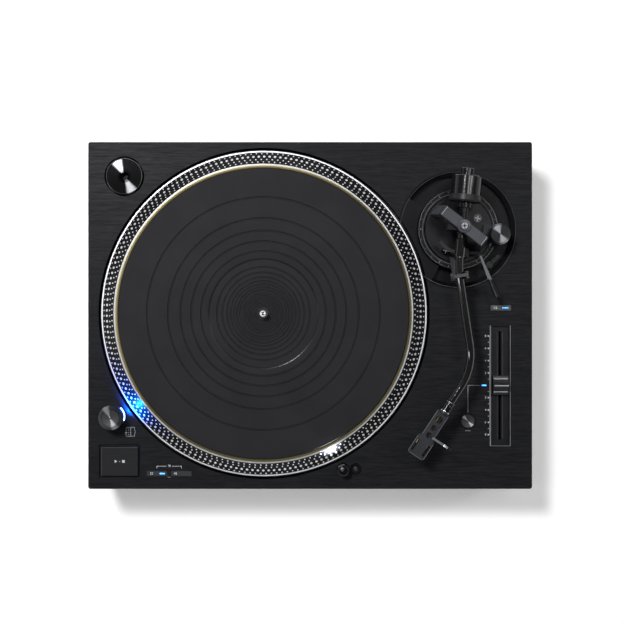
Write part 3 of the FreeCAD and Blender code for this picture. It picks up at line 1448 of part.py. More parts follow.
def make_arm_tube():
    """The S-shaped tube: three straight runs joined by two tangent bends, hollow for the leads."""
    second = size.tube_first_turn - size.tube_second_turn
    third = size.tube_first_turn - size.offset_angle
    first_corner = (size.tube_first_corner, as_size(0))
    second_corner = (first_corner[0] + size.tube_second_corner * cosine(second),
                     size.tube_second_corner * sine(second))
    run = size.tube_third_run - tube_stop
    end = (second_corner[0] + run * cosine(third), second_corner[1] + run * sine(third))
    bend_one = bend_points(first_corner, as_size(0), second, size.tube_first_bend)
    bend_two = bend_points(second_corner, second, third, size.tube_second_bend)
    body = new_body("arm_tube", (pivot_x, pivot_y, arm_axis), first_run_turn)
    route = new_sketch(body, "route")
    runs = (
        ((size.block_half_length, as_size(0)), bend_one[0]),
        (bend_one[1], bend_two[0]),
        (bend_two[1], end),
    )
    lines = []
    for start, finish in runs:
        ends = [Vector(x.number, y.number, 0) for x, y in (start, finish)]
        line = route.addGeometry(Part.LineSegment(*ends))
        for place, (x, y) in ((1, start), (2, finish)):
            bind(route, "DistanceX", x, -1, 1, line, place)
            bind(route, "DistanceY", y, -1, 1, line, place)
        lines.append(line)
    for number, (bend, radius, heading_in) in enumerate((
        (bend_one, size.tube_first_bend, as_size(0)),
        (bend_two, size.tube_second_bend, second),
    )):
        start, finish, sign = bend
        centre = Vector(start[0].number - sign * radius.number * sine(heading_in).number,
                        start[1].number + sign * radius.number * cosine(heading_in).number, 0)
        angles = []
        for x, y in (start, finish):
            angles.append(math.atan2(y.number - centre.y, x.number - centre.x))
        if sign < 0:
            angles.reverse()
        if angles[1] < angles[0]:
            angles[1] += 2 * math.pi
        bend = Part.Circle(centre, Vector(0, 0, 1), radius.number)
        arc = route.addGeometry(Part.ArcOfCircle(bend, *angles))
        first, last = (1, 2) if sign > 0 else (2, 1)
        route.addConstraint(Sketcher.Constraint("Coincident", arc, first, lines[number], 2))
        route.addConstraint(Sketcher.Constraint("Coincident", arc, last, lines[number + 1], 1))
        bind(route, "Radius", radius, arc)
    section = new_sketch(body, "section", "YZ_Plane", height=size.block_half_length)
    circle(section, size.tube_radius)
    circle(section, size.tube_radius - size.tube_wall)
    pipe = body.newObject("PartDesign::AdditivePipe", "arm_tube_pipe")
    pipe.Profile = section
    pipe.Spine = (route, [])
    doc.recompute()
    turned(body, [
        (size.tube_sleeve_start, size.tube_radius - 0.4),
        (size.tube_sleeve_end, size.tube_radius - 0.4),
        (size.tube_sleeve_end, size.tube_radius + 0.4),
        (size.tube_sleeve_end - 1, size.tube_sleeve_radius),
        (size.tube_sleeve_start + 1, size.tube_sleeve_radius),
        (size.tube_sleeve_start, size.tube_radius + 0.4),
    ], name="sleeve", x_axis=True)


def make_weights():
    """The bush on the rear thread, the counterweight and its dial."""
    place = (pivot_x, pivot_y, arm_axis)
    bush_inner = size.rear_thread_radius + size.pivot_gap
    bush_outer = bush_inner + size.bush_wall
    bush_end = size.weight_start + size.weight_length - 1
    dial_front = size.weight_start - seat_gap - size.dial_length
    bush = new_body("weight_bush", place, first_run_turn)
    turned(bush, [
        (-bush_end, bush_inner),
        (-dial_front - 0.5, bush_inner),
        (-dial_front - 0.5, bush_outer),
        (-bush_end, bush_outer),
    ], x_axis=True)
    weight = new_body("counterweight", place, first_run_turn)
    back = size.weight_start + size.weight_length
    turned(weight, [
        (-back, bush_outer + size.pivot_gap),
        (-size.weight_start, bush_outer + size.pivot_gap),
        (-size.weight_start, size.weight_radius),
        (0.8 - back, size.weight_radius),
        (-back, size.weight_radius - 0.8),
    ], x_axis=True)
    dial = new_body("weight_dial", place, first_run_turn)
    turned(dial, [
        (seat_gap - size.weight_start, bush_outer + size.pivot_gap),
        (-dial_front, bush_outer + size.pivot_gap),
        (-dial_front, size.dial_radius - 1.4),
        (-dial_front - 1.4, size.dial_radius),
        (seat_gap - size.weight_start, size.dial_radius),
    ], x_axis=True)


def make_headshell():
    """The bayonet collar, the headshell with its plug, holes and cartridge slots, and its fittings."""
    place = (flange_x, flange_y, arm_axis)
    collar = new_body("locking_collar", place, headshell_turn)
    bore = size.tube_radius + size.pivot_gap
    turned(collar, [
        (-size.collar_length, bore),
        (-collar_gap, bore),
        (-collar_gap, size.collar_radius),
        (-size.collar_length * 0.6, size.collar_radius),
        (-size.collar_length * 0.7, size.collar_radius - 0.5),
        (-size.collar_length + 0.5, size.collar_radius - 0.5),
        (-size.collar_length, size.collar_radius - 1),
    ], x_axis=True)
    shell = new_body("headshell", place, headshell_turn)
    top = -size.shell_drop
    under = top - size.shell_thickness
    neck = size.shell_neck / 2
    half_front = size.shell_width / 2
    step = size.shell_neck_length + size.shell_step
    plate = new_sketch(shell, "plate", height=under)
    outline(plate, [
        (0.8, -neck),
        (size.shell_neck_length, -neck),
        (step, -half_front),
        (size.shell_length - shell_corner, -half_front),
        (size.shell_length, shell_corner - half_front),
        (size.shell_length, half_front - shell_corner),
        (size.shell_length - shell_corner, half_front),
        (step, half_front),
        (size.shell_neck_length, neck),
        (0.8, neck),
    ])
    pad(shell, plate, size.shell_thickness, "plate_pad")
    for side in (-1, 1):
        skirt = new_sketch(shell, f"skirt_{side + 1}", height=under - shell_skirt)
        rectangle(skirt, size.shell_neck_length - 4, 1.4, size.shell_neck_length / 2 + 2, side * (neck - 0.7))
        pad(shell, skirt, shell_skirt, f"skirt_pad_{side + 1}")
    for number, (x, radius) in enumerate(shell_holes, start=1):
        hole(shell, f"hole_{number}", radius, x, 0, top, size.shell_thickness)
    for side in (-1, 1):
        notch(shell, f"slot_{side + 1}", size.shell_slot_length, size.shell_slot_width,
              size.shell_slot_start + size.shell_slot_length / 2, side * size.shell_slot_spacing / 2,
              top, size.shell_thickness)
    turned(shell, [
        (-size.plug_length, 0),
        (-size.plug_length, size.plug_radius),
        (0, size.plug_radius),
        (0, size.plug_radius + 1),
        (1.6, size.plug_radius + 1),
        (1.6, 0),
    ], name="plug", x_axis=True)
    finger = new_body("finger_lift", place, headshell_turn)
    blade = new_sketch(finger, "blade", "YZ_Plane", height=size.finger_place)
    reach = neck + size.finger_length
    outline(blade, [
        (neck - 2, top),
        (reach - 8, top),
        (reach - 3, top + 1.6),
        (reach, top + 4.2),
        (reach - 0.9, top + 5),
        (reach - 3.6, top + 2.8),
        (reach - 8.4, top + 1.3),
        (neck - 2, top + 1.3),
    ])
    made = pad(finger, blade, size.finger_width)
    made.Midplane = True
    doc.recompute()


def make_anti_skate():
    """The anti-skate housing over the height ring, and its dial."""
    place = (pivot_x, pivot_y, 0)
    top = deck_top + size.skate_base
    housing = new_body("anti_skate_housing", place, size.skate_bearing)
    base = new_sketch(housing, "base", height=platform_top)
    circle(base, size.skate_radius - 0.5, size.skate_distance, 0)
    pad(housing, base, size.skate_base - size.platform_rise)
    arm = new_sketch(housing, "arm", height=platform_top)
    rectangle(arm, size.skate_distance - skate_root, 14, (size.skate_distance + skate_root) / 2, 1)
    pad(housing, arm, size.skate_base - size.platform_rise - 2, "arm_pad")
    hole(housing, "stem", stem_radius - 1, size.skate_distance, 0, top, 6)
    knob = new_body("anti_skate_knob", (pivot_x + size.skate_distance * cosine(size.skate_bearing),
                                        pivot_y + size.skate_distance * sine(size.skate_bearing), 0))
    knob_top = deck_top + size.skate_rise
    turned(knob, [
        (0, top - 5),
        (stem_radius - 1.2, top - 5),
        (stem_radius - 1.2, top + size.key_gap),
        (size.skate_radius, top + size.key_gap),
        (size.skate_radius, knob_top - 1),
        (size.skate_radius - 1, knob_top),
        (size.skate_radius - 1.6, knob_top - 0.3),
        (0, knob_top - 0.3),
    ])


def make_cueing():
    """The cue lever on its shaft, and the curved lift bar that raises the arm."""
    lever = new_body("cue_lever", (pivot_x, pivot_y + size.cue_axis_y, deck_top + size.cue_axis_rise))
    turned(lever, [
        (size.cue_shaft_start, 0),
        (size.cue_shaft_end, 0),
        (size.cue_shaft_end, size.cue_shaft_radius),
        (size.cue_shaft_start, size.cue_shaft_radius),
    ], name="shaft", x_axis=True)
    root_x = size.cue_shaft_end - size.cue_lever_root / 2
    reach = size.cue_lever_length * cosine(size.cue_lever_turn)
    root = new_sketch(lever, "root", "XZ_Plane")
    rectangle(root, size.cue_lever_root, size.cue_lever_thickness, root_x, 0)
    tip = new_sketch(lever, "tip", "XZ_Plane", height=reach)
    rectangle(tip, size.cue_lever_tip, size.cue_lever_thickness,
              root_x + size.cue_lever_length * sine(size.cue_lever_turn),
              size.cue_lever_length * sine(size.cue_lever_slope))
    blade = lever.newObject("PartDesign::AdditiveLoft", "cue_lever_blade")
    blade.Profile = root
    blade.Sections = [tip]
    blade.Ruled = True
    doc.recompute()
    ends = []
    for name, along, radius in (
        ("grip_start", size.cue_lever_length - 0.5, size.cue_grip_root),
        ("grip_end", size.cue_lever_length + size.cue_grip_length, size.cue_grip_tip),
    ):
        end = new_sketch(lever, name, "XZ_Plane", height=along * cosine(size.cue_lever_turn))
        circle(end, radius, root_x + along * sine(size.cue_lever_turn), along * sine(size.cue_lever_slope))
        ends.append(end)
    grip = lever.newObject("PartDesign::AdditiveLoft", "cue_lever_grip")
    grip.Profile = ends[0]
    grip.Sections = [ends[1]]
    doc.recompute()
    top = deck_top + size.lift_top
    bar = new_body("lift_bar", (pivot_x, pivot_y, 0))
    arc = new_sketch(bar, "arc", height=top - size.lift_thickness)
    arc_band(arc, size.lift_radius - size.lift_width / 2, size.lift_radius + size.lift_width / 2,
             size.lift_start, size.lift_sweep)
    pad(bar, arc, size.lift_thickness)
    post_bottom = platform_top - size.platform_thickness + 1
    post = new_sketch(bar, "post", height=post_bottom)
    circle(post, lift_post_radius, size.lift_radius * cosine(size.lift_post_angle),
           size.lift_radius * sine(size.lift_post_angle))
    pad(bar, post, top - size.lift_thickness / 2 - post_bottom, "post_pad")


def make_arm_rest():
    """The rest that the tube lies over, and the clamp bar hinged on its tall ear."""
    floor = arm_axis - size.tube_radius - size.rest_clearance
    under = deck_top + size.clamp_rise
    ear_top = under - 0.8
    ear_width = rest_ear_outer - rest_ear_inner
    ear_middle = (rest_ear_outer + rest_ear_inner) / 2
    place_x = pivot_x + size.rest_distance * cosine(size.rest_bearing)
    place_y = pivot_y + size.rest_distance * sine(size.rest_bearing)
    rest = new_body("arm_rest", (place_x, place_y, 0), second_run_turn)
    bracket = new_sketch(rest, "bracket", height=platform_top)
    rectangle(bracket, rest_reach, size.rest_bracket_width, rest_post / 2 - rest_reach / 2, 1)
    pad(rest, bracket, size.rest_bracket_thickness)
    post = new_sketch(rest, "post", height=platform_top)
    rectangle(post, rest_post, size.rest_bracket_width - 2, 0, 1)
    pad(rest, post, floor - platform_top - 2, "post_pad")
    cradle = new_sketch(rest, "cradle", height=floor - 3)
    rectangle(cradle, rest_post, rest_ear_outer + rest_lip_outer, 0, (rest_ear_outer - rest_lip_outer) / 2)
    pad(rest, cradle, 3, "cradle_pad")
    lip = new_sketch(rest, "lip", height=floor - 1)
    rectangle(lip, rest_post, rest_lip_width, 0, rest_lip_width / 2 - rest_lip_outer)
    pad(rest, lip, deck_top + size.rest_lip - floor + 1, "lip_pad")
    ear = new_sketch(rest, "ear", height=floor - 1)
    rectangle(ear, rest_post, ear_width, 0, ear_middle)
    pad(rest, ear, ear_top - floor + 1, "ear_pad")
    for number, side in enumerate((-1, 1), start=1):
        cheek = new_sketch(rest, f"cheek_{number}", height=ear_top - 1)
        rectangle(cheek, clamp_cheek, ear_width, side * (rest_post - clamp_cheek) / 2, ear_middle)
        pad(rest, cheek, clamp_axis + 2 - ear_top + 1, f"cheek_pad_{number}")
    pin = new_sketch(rest, "pin", "YZ_Plane", height=-rest_post)
    circle(pin, clamp_pin + size.pivot_gap, ear_middle, clamp_axis)
    pocket(rest, pin, 2 * rest_post, "pin_cut", reverse=True)
    clamp = new_body("arm_clamp", (
        place_x - ear_middle * sine(second_run_turn),
        place_y + ear_middle * cosine(second_run_turn),
        clamp_axis), second_run_turn)
    half_pin = rest_post / 2 - 0.2
    half_barrel = half_pin - clamp_cheek
    turned(clamp, [
        (-half_pin, 0),
        (-half_pin, clamp_pin),
        (-half_barrel, clamp_pin),
        (-half_barrel, clamp_barrel),
        (half_barrel, clamp_barrel),
        (half_barrel, clamp_pin),
        (half_pin, clamp_pin),
        (half_pin, 0),
    ], x_axis=True)
    bar = new_sketch(clamp, "bar", "YZ_Plane")
    outline(bar, [
        (0, -clamp_barrel),
        (1.4 - size.clamp_length, -clamp_barrel),
        (1.4 - size.clamp_length, -clamp_barrel - 2),
        (-size.clamp_length, -clamp_barrel - 2),
        (-size.clamp_length, clamp_barrel - 1),
        (1 - size.clamp_length, clamp_barrel),
        (0, clamp_barrel),
    ])
    made = pad(clamp, bar, 2 * half_barrel - 0.4, "bar_pad")
    made.Midplane = True
    doc.recompute()


def make_lock_lever():
    """The lever in the trough that locks the height ring."""
    bearing = size.lock_lever_bearing
    middle = (trough_inner + size.trough_outer) / 2
    place = (pivot_x + middle * cosine(bearing), pivot_y + middle * sine(bearing), deck_top)
    body = new_body("height_lock_lever", place, bearing + 90)
    turned(body, [
        (0, seat_gap - size.trough_depth),
        (lock_boss, seat_gap - size.trough_depth),
        (lock_boss, 3),
        (lock_boss - 0.6, 3.6),
        (0, 3.6),
    ])
    blade = new_sketch(body, "blade", height=0.8)
    outline(blade, [(0, -2.2), (13, -1.6), (14, 0), (13, 1.6), (0, 2.2)])
    pad(body, blade, 2.2, "blade_pad")


def make_rear_fittings():
    """The terminal panel with its jacks and ground screw, and the mains inlet, in their alcoves."""
    wall = deck_depth / 2 - size.alcove_depth
    panel = new_body("terminal_panel", (phono_x, wall, 0))
    plate = new_sketch(panel, "plate", height=size.alcove_low)
    rectangle(plate, size.phono_width, size.terminal_thickness, 0, size.terminal_thickness / 2)
    pad(panel, plate, base_top - size.alcove_low)
    face = size.terminal_thickness
    jacks = []
    for number in range(2):
        across = phono_x - jack_offset + (number - 0.5) * size.jack_spacing
        tubes = []
        for part, radius, start, length in (
            ("body", size.jack_radius, face, size.jack_length),
            ("flange", size.jack_radius + 2, face, as_size(2)),
            ("socket", size.jack_radius - 2.6, face + 2, size.jack_length),
        ):
            tube = doc.addObject("Part::Cylinder", f"jack_{number + 1}_{part}")
            tube.setExpression("Radius", radius.text)
            tube.setExpression("Height", length.text)
            tube.Placement = Placement(Vector(0, 0, 0), Rotation(Vector(1, 0, 0), -90))
            tube.setExpression("Placement.Base.x", across.text)
            tube.setExpression("Placement.Base.y", (wall + start).text)
            tube.setExpression("Placement.Base.z", size.jack_height.text)
            tubes.append(tube)
        outer = doc.addObject("Part::MultiFuse", f"jack_{number + 1}_outer")
        outer.Shapes = tubes[:2]
        jack = doc.addObject("Part::Cut", f"jack_{number + 1}")
        jack.Base = outer
        jack.Tool = tubes[2]
        jacks.append(jack)
    group = doc.addObject("Part::Compound", "phono_jacks")
    group.Label = "phono_jacks"
    group.Links = jacks
    pieces.append(group)
    ground = new_body("ground_terminal", (phono_x + ground_offset, wall, size.jack_height))
    ground_profile = new_sketch(ground, "profile", "XY_Plane")
    outline(ground_profile, [
        (0, face),
        (2, face),
        (2, face + 3),
        (4.6, face + 3),
        (4.6, face + 9),
        (3.8, face + 10),
        (0, face + 10),
    ])
    made = ground.newObject("PartDesign::Revolution", "ground_terminal_turned")
    made.Profile = ground_profile
    made.ReferenceAxis = (ground_profile, ["V_Axis"])
    made.Angle = 360
    doc.recompute()
    inlet = new_body("mains_inlet", (mains_x, wall, 0))
    plate = new_sketch(inlet, "plate", height=size.alcove_low)
    rectangle(plate, size.mains_width, size.terminal_thickness, 0, size.terminal_thickness / 2)
    pad(inlet, plate, base_top - size.alcove_low, "plate_pad")
    shroud = new_sketch(inlet, "shroud", height=size.jack_height - inlet_height / 2)
    rectangle(shroud, inlet_width, inlet_depth, 0, inlet_depth / 2)
    pad(inlet, shroud, inlet_height, "shroud_pad")
    mouth = new_sketch(inlet, "mouth", "XZ_Plane", height=-inlet_depth)
    rectangle(mouth, inlet_width - 4, inlet_height - 4, 0, size.jack_height)
    made = pocket(inlet, mouth, inlet_depth - 4, "mouth_cut", reverse=True)
    for number in range(3):
        pin = new_sketch(inlet, f"pin_{number + 1}", "XZ_Plane", height=-3.5)
        rectangle(pin, 2, 4, (number - 1) * 7, size.jack_height + (2 if number == 1 else -1.5))
        made = pad(inlet, pin, inlet_depth - 7, f"pin_pad_{number + 1}")
        made.Reversed = True
        doc.recompute()


def make_all():
    """Every piece in turn."""
    make_top_panel()
    make_cabinet_casting()
    make_inner_base()
    make_rubber_base()
    heads = [(x, y, base_bottom - 2) for x, y in base_screw_places]
    screw_group("base_screws", heads, base_screw_head, as_size(2), base_screw_radius, size.rubber_floor - 0.5)
    for name, (x, y) in zip(("front_left", "front_right", "rear_left", "rear_right"), foot_places):
        make_foot(f"foot_{name}", x, y)
    make_platter()
    make_motor()
    make_inner_electrics()
    make_adaptor()
    make_strobe_tower()
    make_keys()
    make_stylus_lamp()
    make_pitch_fader()
    make_arm_base()
    make_height_ring()
    make_arm_platform()
    make_lock_lever()
    make_gimbal()
    make_arm_screws()
    make_rear_shaft()
    make_arm_tube()
    make_weights()
    make_headshell()
    make_anti_skate()
    make_cueing()
    make_arm_rest()
    make_rear_fittings()


make_all()
doc.recompute()

for item in doc.Objects:
    if "Invalid" in item.State or "Error" in item.State:
        raise RuntimeError(f"{item.Name} is {item.State}")
for piece in pieces:
    if piece.Shape.isNull() or not piece.Shape.isValid():
        raise RuntimeError(f"{piece.Label} has no valid shape")

os.makedirs("parts", exist_ok=True)
for piece in pieces:
    piece.Shape.exportStep(f"parts/{piece.Label}.step")
print(len(pieces), "pieces written")
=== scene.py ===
"""A direct drive turntable on a white floor, seen from straight above."""

import math

import bmesh
import bpy
from bpy.props import FloatProperty, FloatVectorProperty, IntProperty, PointerProperty
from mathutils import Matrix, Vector


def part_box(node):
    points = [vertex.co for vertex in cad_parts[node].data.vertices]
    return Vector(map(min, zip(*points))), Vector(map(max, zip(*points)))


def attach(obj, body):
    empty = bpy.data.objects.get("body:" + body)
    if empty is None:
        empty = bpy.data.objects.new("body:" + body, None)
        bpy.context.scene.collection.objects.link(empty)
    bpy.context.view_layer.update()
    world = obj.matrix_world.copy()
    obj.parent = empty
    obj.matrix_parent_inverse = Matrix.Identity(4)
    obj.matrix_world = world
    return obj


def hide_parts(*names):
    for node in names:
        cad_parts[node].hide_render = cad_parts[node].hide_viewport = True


bl_info = {
    "name": "Direct Drive Turntable",
    "version": (1, 0, 0),
    "blender": (4, 5, 0),
    "location": "3D View > Sidebar > Turntable",
    "description": "Finishes the pieces of a direct drive turntable and sets its stage",
    "category": "Object",
}

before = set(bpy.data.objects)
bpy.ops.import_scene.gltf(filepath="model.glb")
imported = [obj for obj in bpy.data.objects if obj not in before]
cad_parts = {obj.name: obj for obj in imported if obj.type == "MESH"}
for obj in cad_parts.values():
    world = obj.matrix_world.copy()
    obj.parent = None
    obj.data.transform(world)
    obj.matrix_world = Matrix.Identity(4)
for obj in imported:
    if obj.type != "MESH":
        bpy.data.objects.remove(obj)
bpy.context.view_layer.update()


def middle(node):
    """The middle of a piece of the frame."""
    low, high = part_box(node)
    return (low + high) / 2


def top_of(node):
    """The highest level of a piece of the frame."""
    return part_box(node)[1].z


def radius_of(node):
    """The radius of a round piece of the frame."""
    low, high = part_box(node)
    return (high.x - low.x) / 2


deck_top = top_of("top_panel")
platter_x, platter_y = middle("spindle")[:2]
platter_axis = (platter_x, platter_y, 0)
arm_pivot = middle("height_ring")
tower_middle = middle("power_knob")
print_level = deck_top + 0.00003
print_thickness = 0.00006
thin_line = 0.0003
bridge_turn = -37.9
bridge_half = 0.0255
shell_turn = math.radians(-123.4)
shell_root = Vector((0.13230, -0.09507))
shell_level = 0.1310
collar_radius = 0.0054
platform_level = deck_top + 0.008
platform_screws = ((0.0192, 0.0108), (-0.0129, -0.0219))


def length(name, text, default):
    """A size of a detail, which the sidebar shows in metres."""
    return FloatProperty(name=name, description=text, default=default, unit="LENGTH")


def tint(name, text, default):
    """A colour of a finish."""
    return FloatVectorProperty(name=name, description=text, subtype="COLOR", default=default)


class TurntableSizes(bpy.types.PropertyGroup):
    """The sizes of the details that are added to the frame."""

    large_dots: IntProperty(
        name="Large dots", description="Number of dots in the row of large dots", default=182)
    large_dot: length("Large dot", "Radius of a large strobe dot", 0.00128)
    small_dot: length("Small dot", "Radius of a small strobe dot", 0.00072)
    groove_depth: length("Mat groove", "Depth of the grooves in the mat", 0.0009)
    numeral_height: length("Numeral", "Height of the numerals on the scale", 0.0030)
    lead_radius: length("Lead", "Radius of a headshell lead", 0.0006)


class TurntableColours(bpy.types.PropertyGroup):
    """The colours of the turntable's finishes."""

    deck: tint("Deck", "Brushed deck", (0.0088, 0.0091, 0.0107))
    casting: tint("Casting", "Painted castings", (0.012, 0.012, 0.013))
    rubber: tint("Rubber", "Mat and feet", (0.0134, 0.0131, 0.0152))
    silver: tint("Silver", "Bare metal", (0.62, 0.62, 0.64))
    gold: tint("Brass", "Edge of the brass plate", (0.52, 0.45, 0.23))
    arm: tint("Arm", "Gloss black of the tonearm", (0.006, 0.006, 0.007))
    printing: tint("Printing", "Printed numerals and lines", (0.62, 0.64, 0.66))
    light: tint("Blue light", "Strobe and speed lights", (0.02, 0.25, 1.0))


class Wire:
    """A socket of a node that takes part in plain sums."""

    def __init__(self, tree, socket):
        self.tree = tree
        self.socket = socket

    def __add__(self, other):
        return self.tree.sum("ADD", self, other)

    __radd__ = __add__

    def __sub__(self, other):
        return self.tree.sum("SUBTRACT", self, other)

    def __rsub__(self, other):
        return self.tree.sum("SUBTRACT", other, self)

    def __mul__(self, other):
        return self.tree.sum("MULTIPLY", self, other)

    __rmul__ = __mul__

    def __lt__(self, other):
        return self.tree.sum("LESS_THAN", self, other)

    def __gt__(self, other):
        return self.tree.sum("GREATER_THAN", self, other)

    def take(self, operation, *others):
        return self.tree.sum(operation, self, *others)


class Nodes:
    """The nodes of a material or a world, emptied and laid anew."""

    def __init__(self, owner):
        owner.use_nodes = True
        self.tree = owner.node_tree
        self.tree.nodes.clear()

    def node(self, kind, settings=None, sockets=None):
        """One node: its type, then its settings, then its sockets."""
        made = self.tree.nodes.new("ShaderNode" + kind)
        for name, value in (settings or {}).items():
            setattr(made, name, value)
        for name, value in (sockets or {}).items():
            self.join(value, made.inputs[name])
        return made

    def join(self, value, socket):
        if isinstance(value, Wire):
            self.tree.links.new(value.socket, socket)
        elif socket.type == "RGBA":
            socket.default_value = (*tuple(value)[:3], 1.0)
        else:
            socket.default_value = value

    def wire(self, made, output=0):
        return Wire(self, made.outputs[output])

    def sum(self, operation, *values):
        return self.wire(self.node("Math", {"operation": operation}, dict(enumerate(values))))

    def seen(self):
        """One for what the camera sees, also in a mirror or through glass, and nothing for other light."""
        path = self.node("LightPath")
        seen = self.wire(path, "Is Camera Ray")
        for ray in ("Is Glossy Ray", "Is Transmission Ray"):
            seen = seen.take("MAXIMUM", self.wire(path, ray))
        return seen


class Finish(Nodes):
    """A material in the making: a surface, and the nodes that vary it over the piece."""

    def __init__(self, name, centre=(0, 0, 0), **plain):
        self.material = bpy.data.materials.new(name)
        super().__init__(self.material)
        self.surface = self.node("BsdfPrincipled")
        self.output = self.node("OutputMaterial")
        self.join(self.wire(self.surface), self.output.inputs["Surface"])
        for socket, value in plain.items():
            self.give(socket.replace("_", " "), value)
        coordinates = self.node("TexCoord")
        self.place = self.wire(self.node("VectorMath", {"operation": "SUBTRACT"}, {
            0: self.wire(coordinates, "Object"), 1: tuple(centre)}))

    def give(self, socket, value):
        """Sets one socket of the surface."""
        names = {input.name.lower(): input for input in self.surface.inputs}
        self.join(value, names[socket.lower()])

    def parts(self):
        """The three coordinates of the place on the piece."""
        split = self.node("SeparateXYZ", None, {0: self.place})
        return [self.wire(split, axis) for axis in range(3)]

    def radius(self):
        """The distance from the middle of the piece, seen from above."""
        x, y = self.parts()[:2]
        return (x * x + y * y).take("SQRT")

    def rings(self, pitch):
        """Waves from the middle outwards, one for each pitch."""
        return (self.radius() * (2 * math.pi / pitch)).take("SINE")

    def bearing(self, lean):
        """The angle round the middle of the piece, counted from a lean in degrees."""
        x, y = self.parts()[:2]
        return y.take("ARCTAN2", x) - math.radians(lean)

    def stretched(self, across):
        return self.wire(self.node("VectorMath", {"operation": "MULTIPLY"}, {0: self.place, 1: across}))

    def noise(self, across, detail=3.0, roughness=0.55):
        """Noise with its own number of grains in each metre along each axis."""
        return self.wire(self.node("TexNoise", {"noise_dimensions": "3D"}, {
            "Vector": self.stretched(across), "Scale": 1.0, "Detail": detail,
            "Roughness": roughness}), "Fac")

    def cloud(self, grains, detail=3.0, roughness=0.55):
        """Noise with the same number of grains in each metre along every axis."""
        return self.noise((grains, grains, grains), detail, roughness)

    def eased(self, value, low, high, start=0.0, end=1.0):
        return self.ranged(value, low, high, start, end, "SMOOTHSTEP")

    def ranged(self, value, low, high, start=0.0, end=1.0, way="LINEAR"):
        return self.wire(self.node("MapRange", {"interpolation_type": way}, {
            0: value, 1: low, 2: high, 3: start, 4: end}))

    def blend(self, mask, first, second):
        return self.wire(self.node("Mix", {"data_type": "RGBA"}, {0: mask, 6: first, 7: second}), 2)

    def shades(self, mask, colour, low, high):
        """A colour that a mask takes from a darker to a lighter shade."""
        return self.blend(mask, shade(colour, low), shade(colour, high))

    def bump(self, height, depth, strength=1.0):
        made = self.node("Bump", None, {"Height": height, "Distance": depth, "Strength": strength})
        self.give("Normal", self.wire(made))

    def gloss(self, mask, low, high, start, end):
        """The roughness, which a mask takes from its start to its end."""
        self.give("Roughness", self.ranged(mask, low, high, start, end))


def shade(colour, factor):
    """A colour made lighter or darker."""
    return tuple(min(1.0, channel * factor) for channel in tuple(colour)[:3])


def brushed(name, colour, grains=(75.0, 1050.0, 300.0), spread=0.42, metallic=0.0, roughness=0.42,
            specular=0.065):
    """Metal brushed along X: long fine streaks in its colour, gloss and grain."""
    finish = Finish(name, Metallic=metallic, Specular_IOR_Level=specular)
    fine = finish.noise(grains, 2.0, 0.7)
    long = finish.noise((grains[0] / 3, grains[1] / 2, grains[2] / 2), 2.0, 0.6)
    streak = finish.eased(fine * 0.6 + long * 0.4, 0.3, 0.7)
    finish.give("Base Color", finish.shades(streak, colour, 1 - spread, 1 + spread * 1.6))
    finish.gloss(streak, 0.0, 1.0, roughness + 0.07, roughness - 0.07)
    finish.bump(streak, 0.00004, 0.6)
    return finish.material


def painted(name, colour, grain=2600.0, depth=0.00003, roughness=0.38, specular=0.35, coat=0.0):
    """Paint over metal, with a fine grain and a faint wave in its tone."""
    finish = Finish(name, Specular_IOR_Level=specular, Coat_Weight=coat, Coat_Roughness=0.12)
    fine = finish.cloud(grain, 2.0)
    wide = finish.cloud(40.0, 2.0)
    wave = finish.eased(wide * 0.7 + fine * 0.3, 0.3, 0.7)
    finish.give("Base Color", finish.shades(wave, colour, 0.8, 1.25))
    finish.gloss(fine, 0.3, 0.7, roughness - 0.05, roughness + 0.05)
    finish.bump(fine, depth, 0.5)
    return finish.material


def rubbery(name, colour, grain=1800.0, roughness=0.7, specular=0.3):
    """Rubber: matt, with a close grain and dusty lighter patches."""
    finish = Finish(name, Specular_IOR_Level=specular)
    fine = finish.cloud(grain, 3.0, 0.6)
    patches = finish.cloud(55.0, 3.0)
    finish.give("Base Color", finish.shades(finish.eased(patches, 0.35, 0.7), colour, 0.85, 1.2))
    finish.gloss(fine, 0.3, 0.7, roughness - 0.06, roughness + 0.06)
    finish.bump(fine, 0.00006, 0.5)
    return finish.material


def polished(name, colour, roughness=0.12, metallic=1.0, coat=0.0, specular=0.5):
    """A polished or lacquered surface with the faintest of marks."""
    finish = Finish(name, Metallic=metallic, Coat_Weight=coat, Coat_Roughness=0.05,
                    Specular_IOR_Level=specular)
    marks = finish.cloud(900.0, 4.0, 0.7)
    cloud = finish.cloud(70.0, 2.0)
    finish.give("Base Color", finish.shades(cloud, colour, 0.9, 1.1))
    finish.gloss(marks, 0.3, 0.7, roughness * 0.8, roughness * 1.3)
    finish.bump(marks, 0.000005, 0.3)
    return finish.material


def spun(name, colour, centre, painted_fan_contrast=0.35, wedge=0.5, lean=115, pitch=0.0004, roughness=0.42):
    """Metal turned on a lathe: fine rings in its bump and gloss, and a painted highlight in two opposite
    fans of lighter colour round the lean.
    """
    finish = Finish(name, centre, Metallic=1.0)
    ring = finish.rings(pitch)
    uneven = finish.cloud(300.0, 2.0)
    # Painted highlight: two opposite wedges round the lean are lighter in colour, as if the light caught
    # the rings there.
    painted_fans = finish.eased((finish.bearing(lean) * 2.0).take("COSINE"), wedge, 1.0)
    grain = finish.ranged(ring + uneven, -1.0, 2.0)
    tone = finish.ranged(painted_fans * (0.8 + 0.2 * grain), 0.0, 1.0)
    finish.give("Base Color", finish.shades(tone, colour, 1 - painted_fan_contrast, 1 + painted_fan_contrast * 0.7))
    finish.gloss(grain, 0.0, 1.0, roughness * 0.8, roughness * 1.3)
    finish.bump(ring + uneven * 0.5, 0.000008, 0.7)
    return finish.material


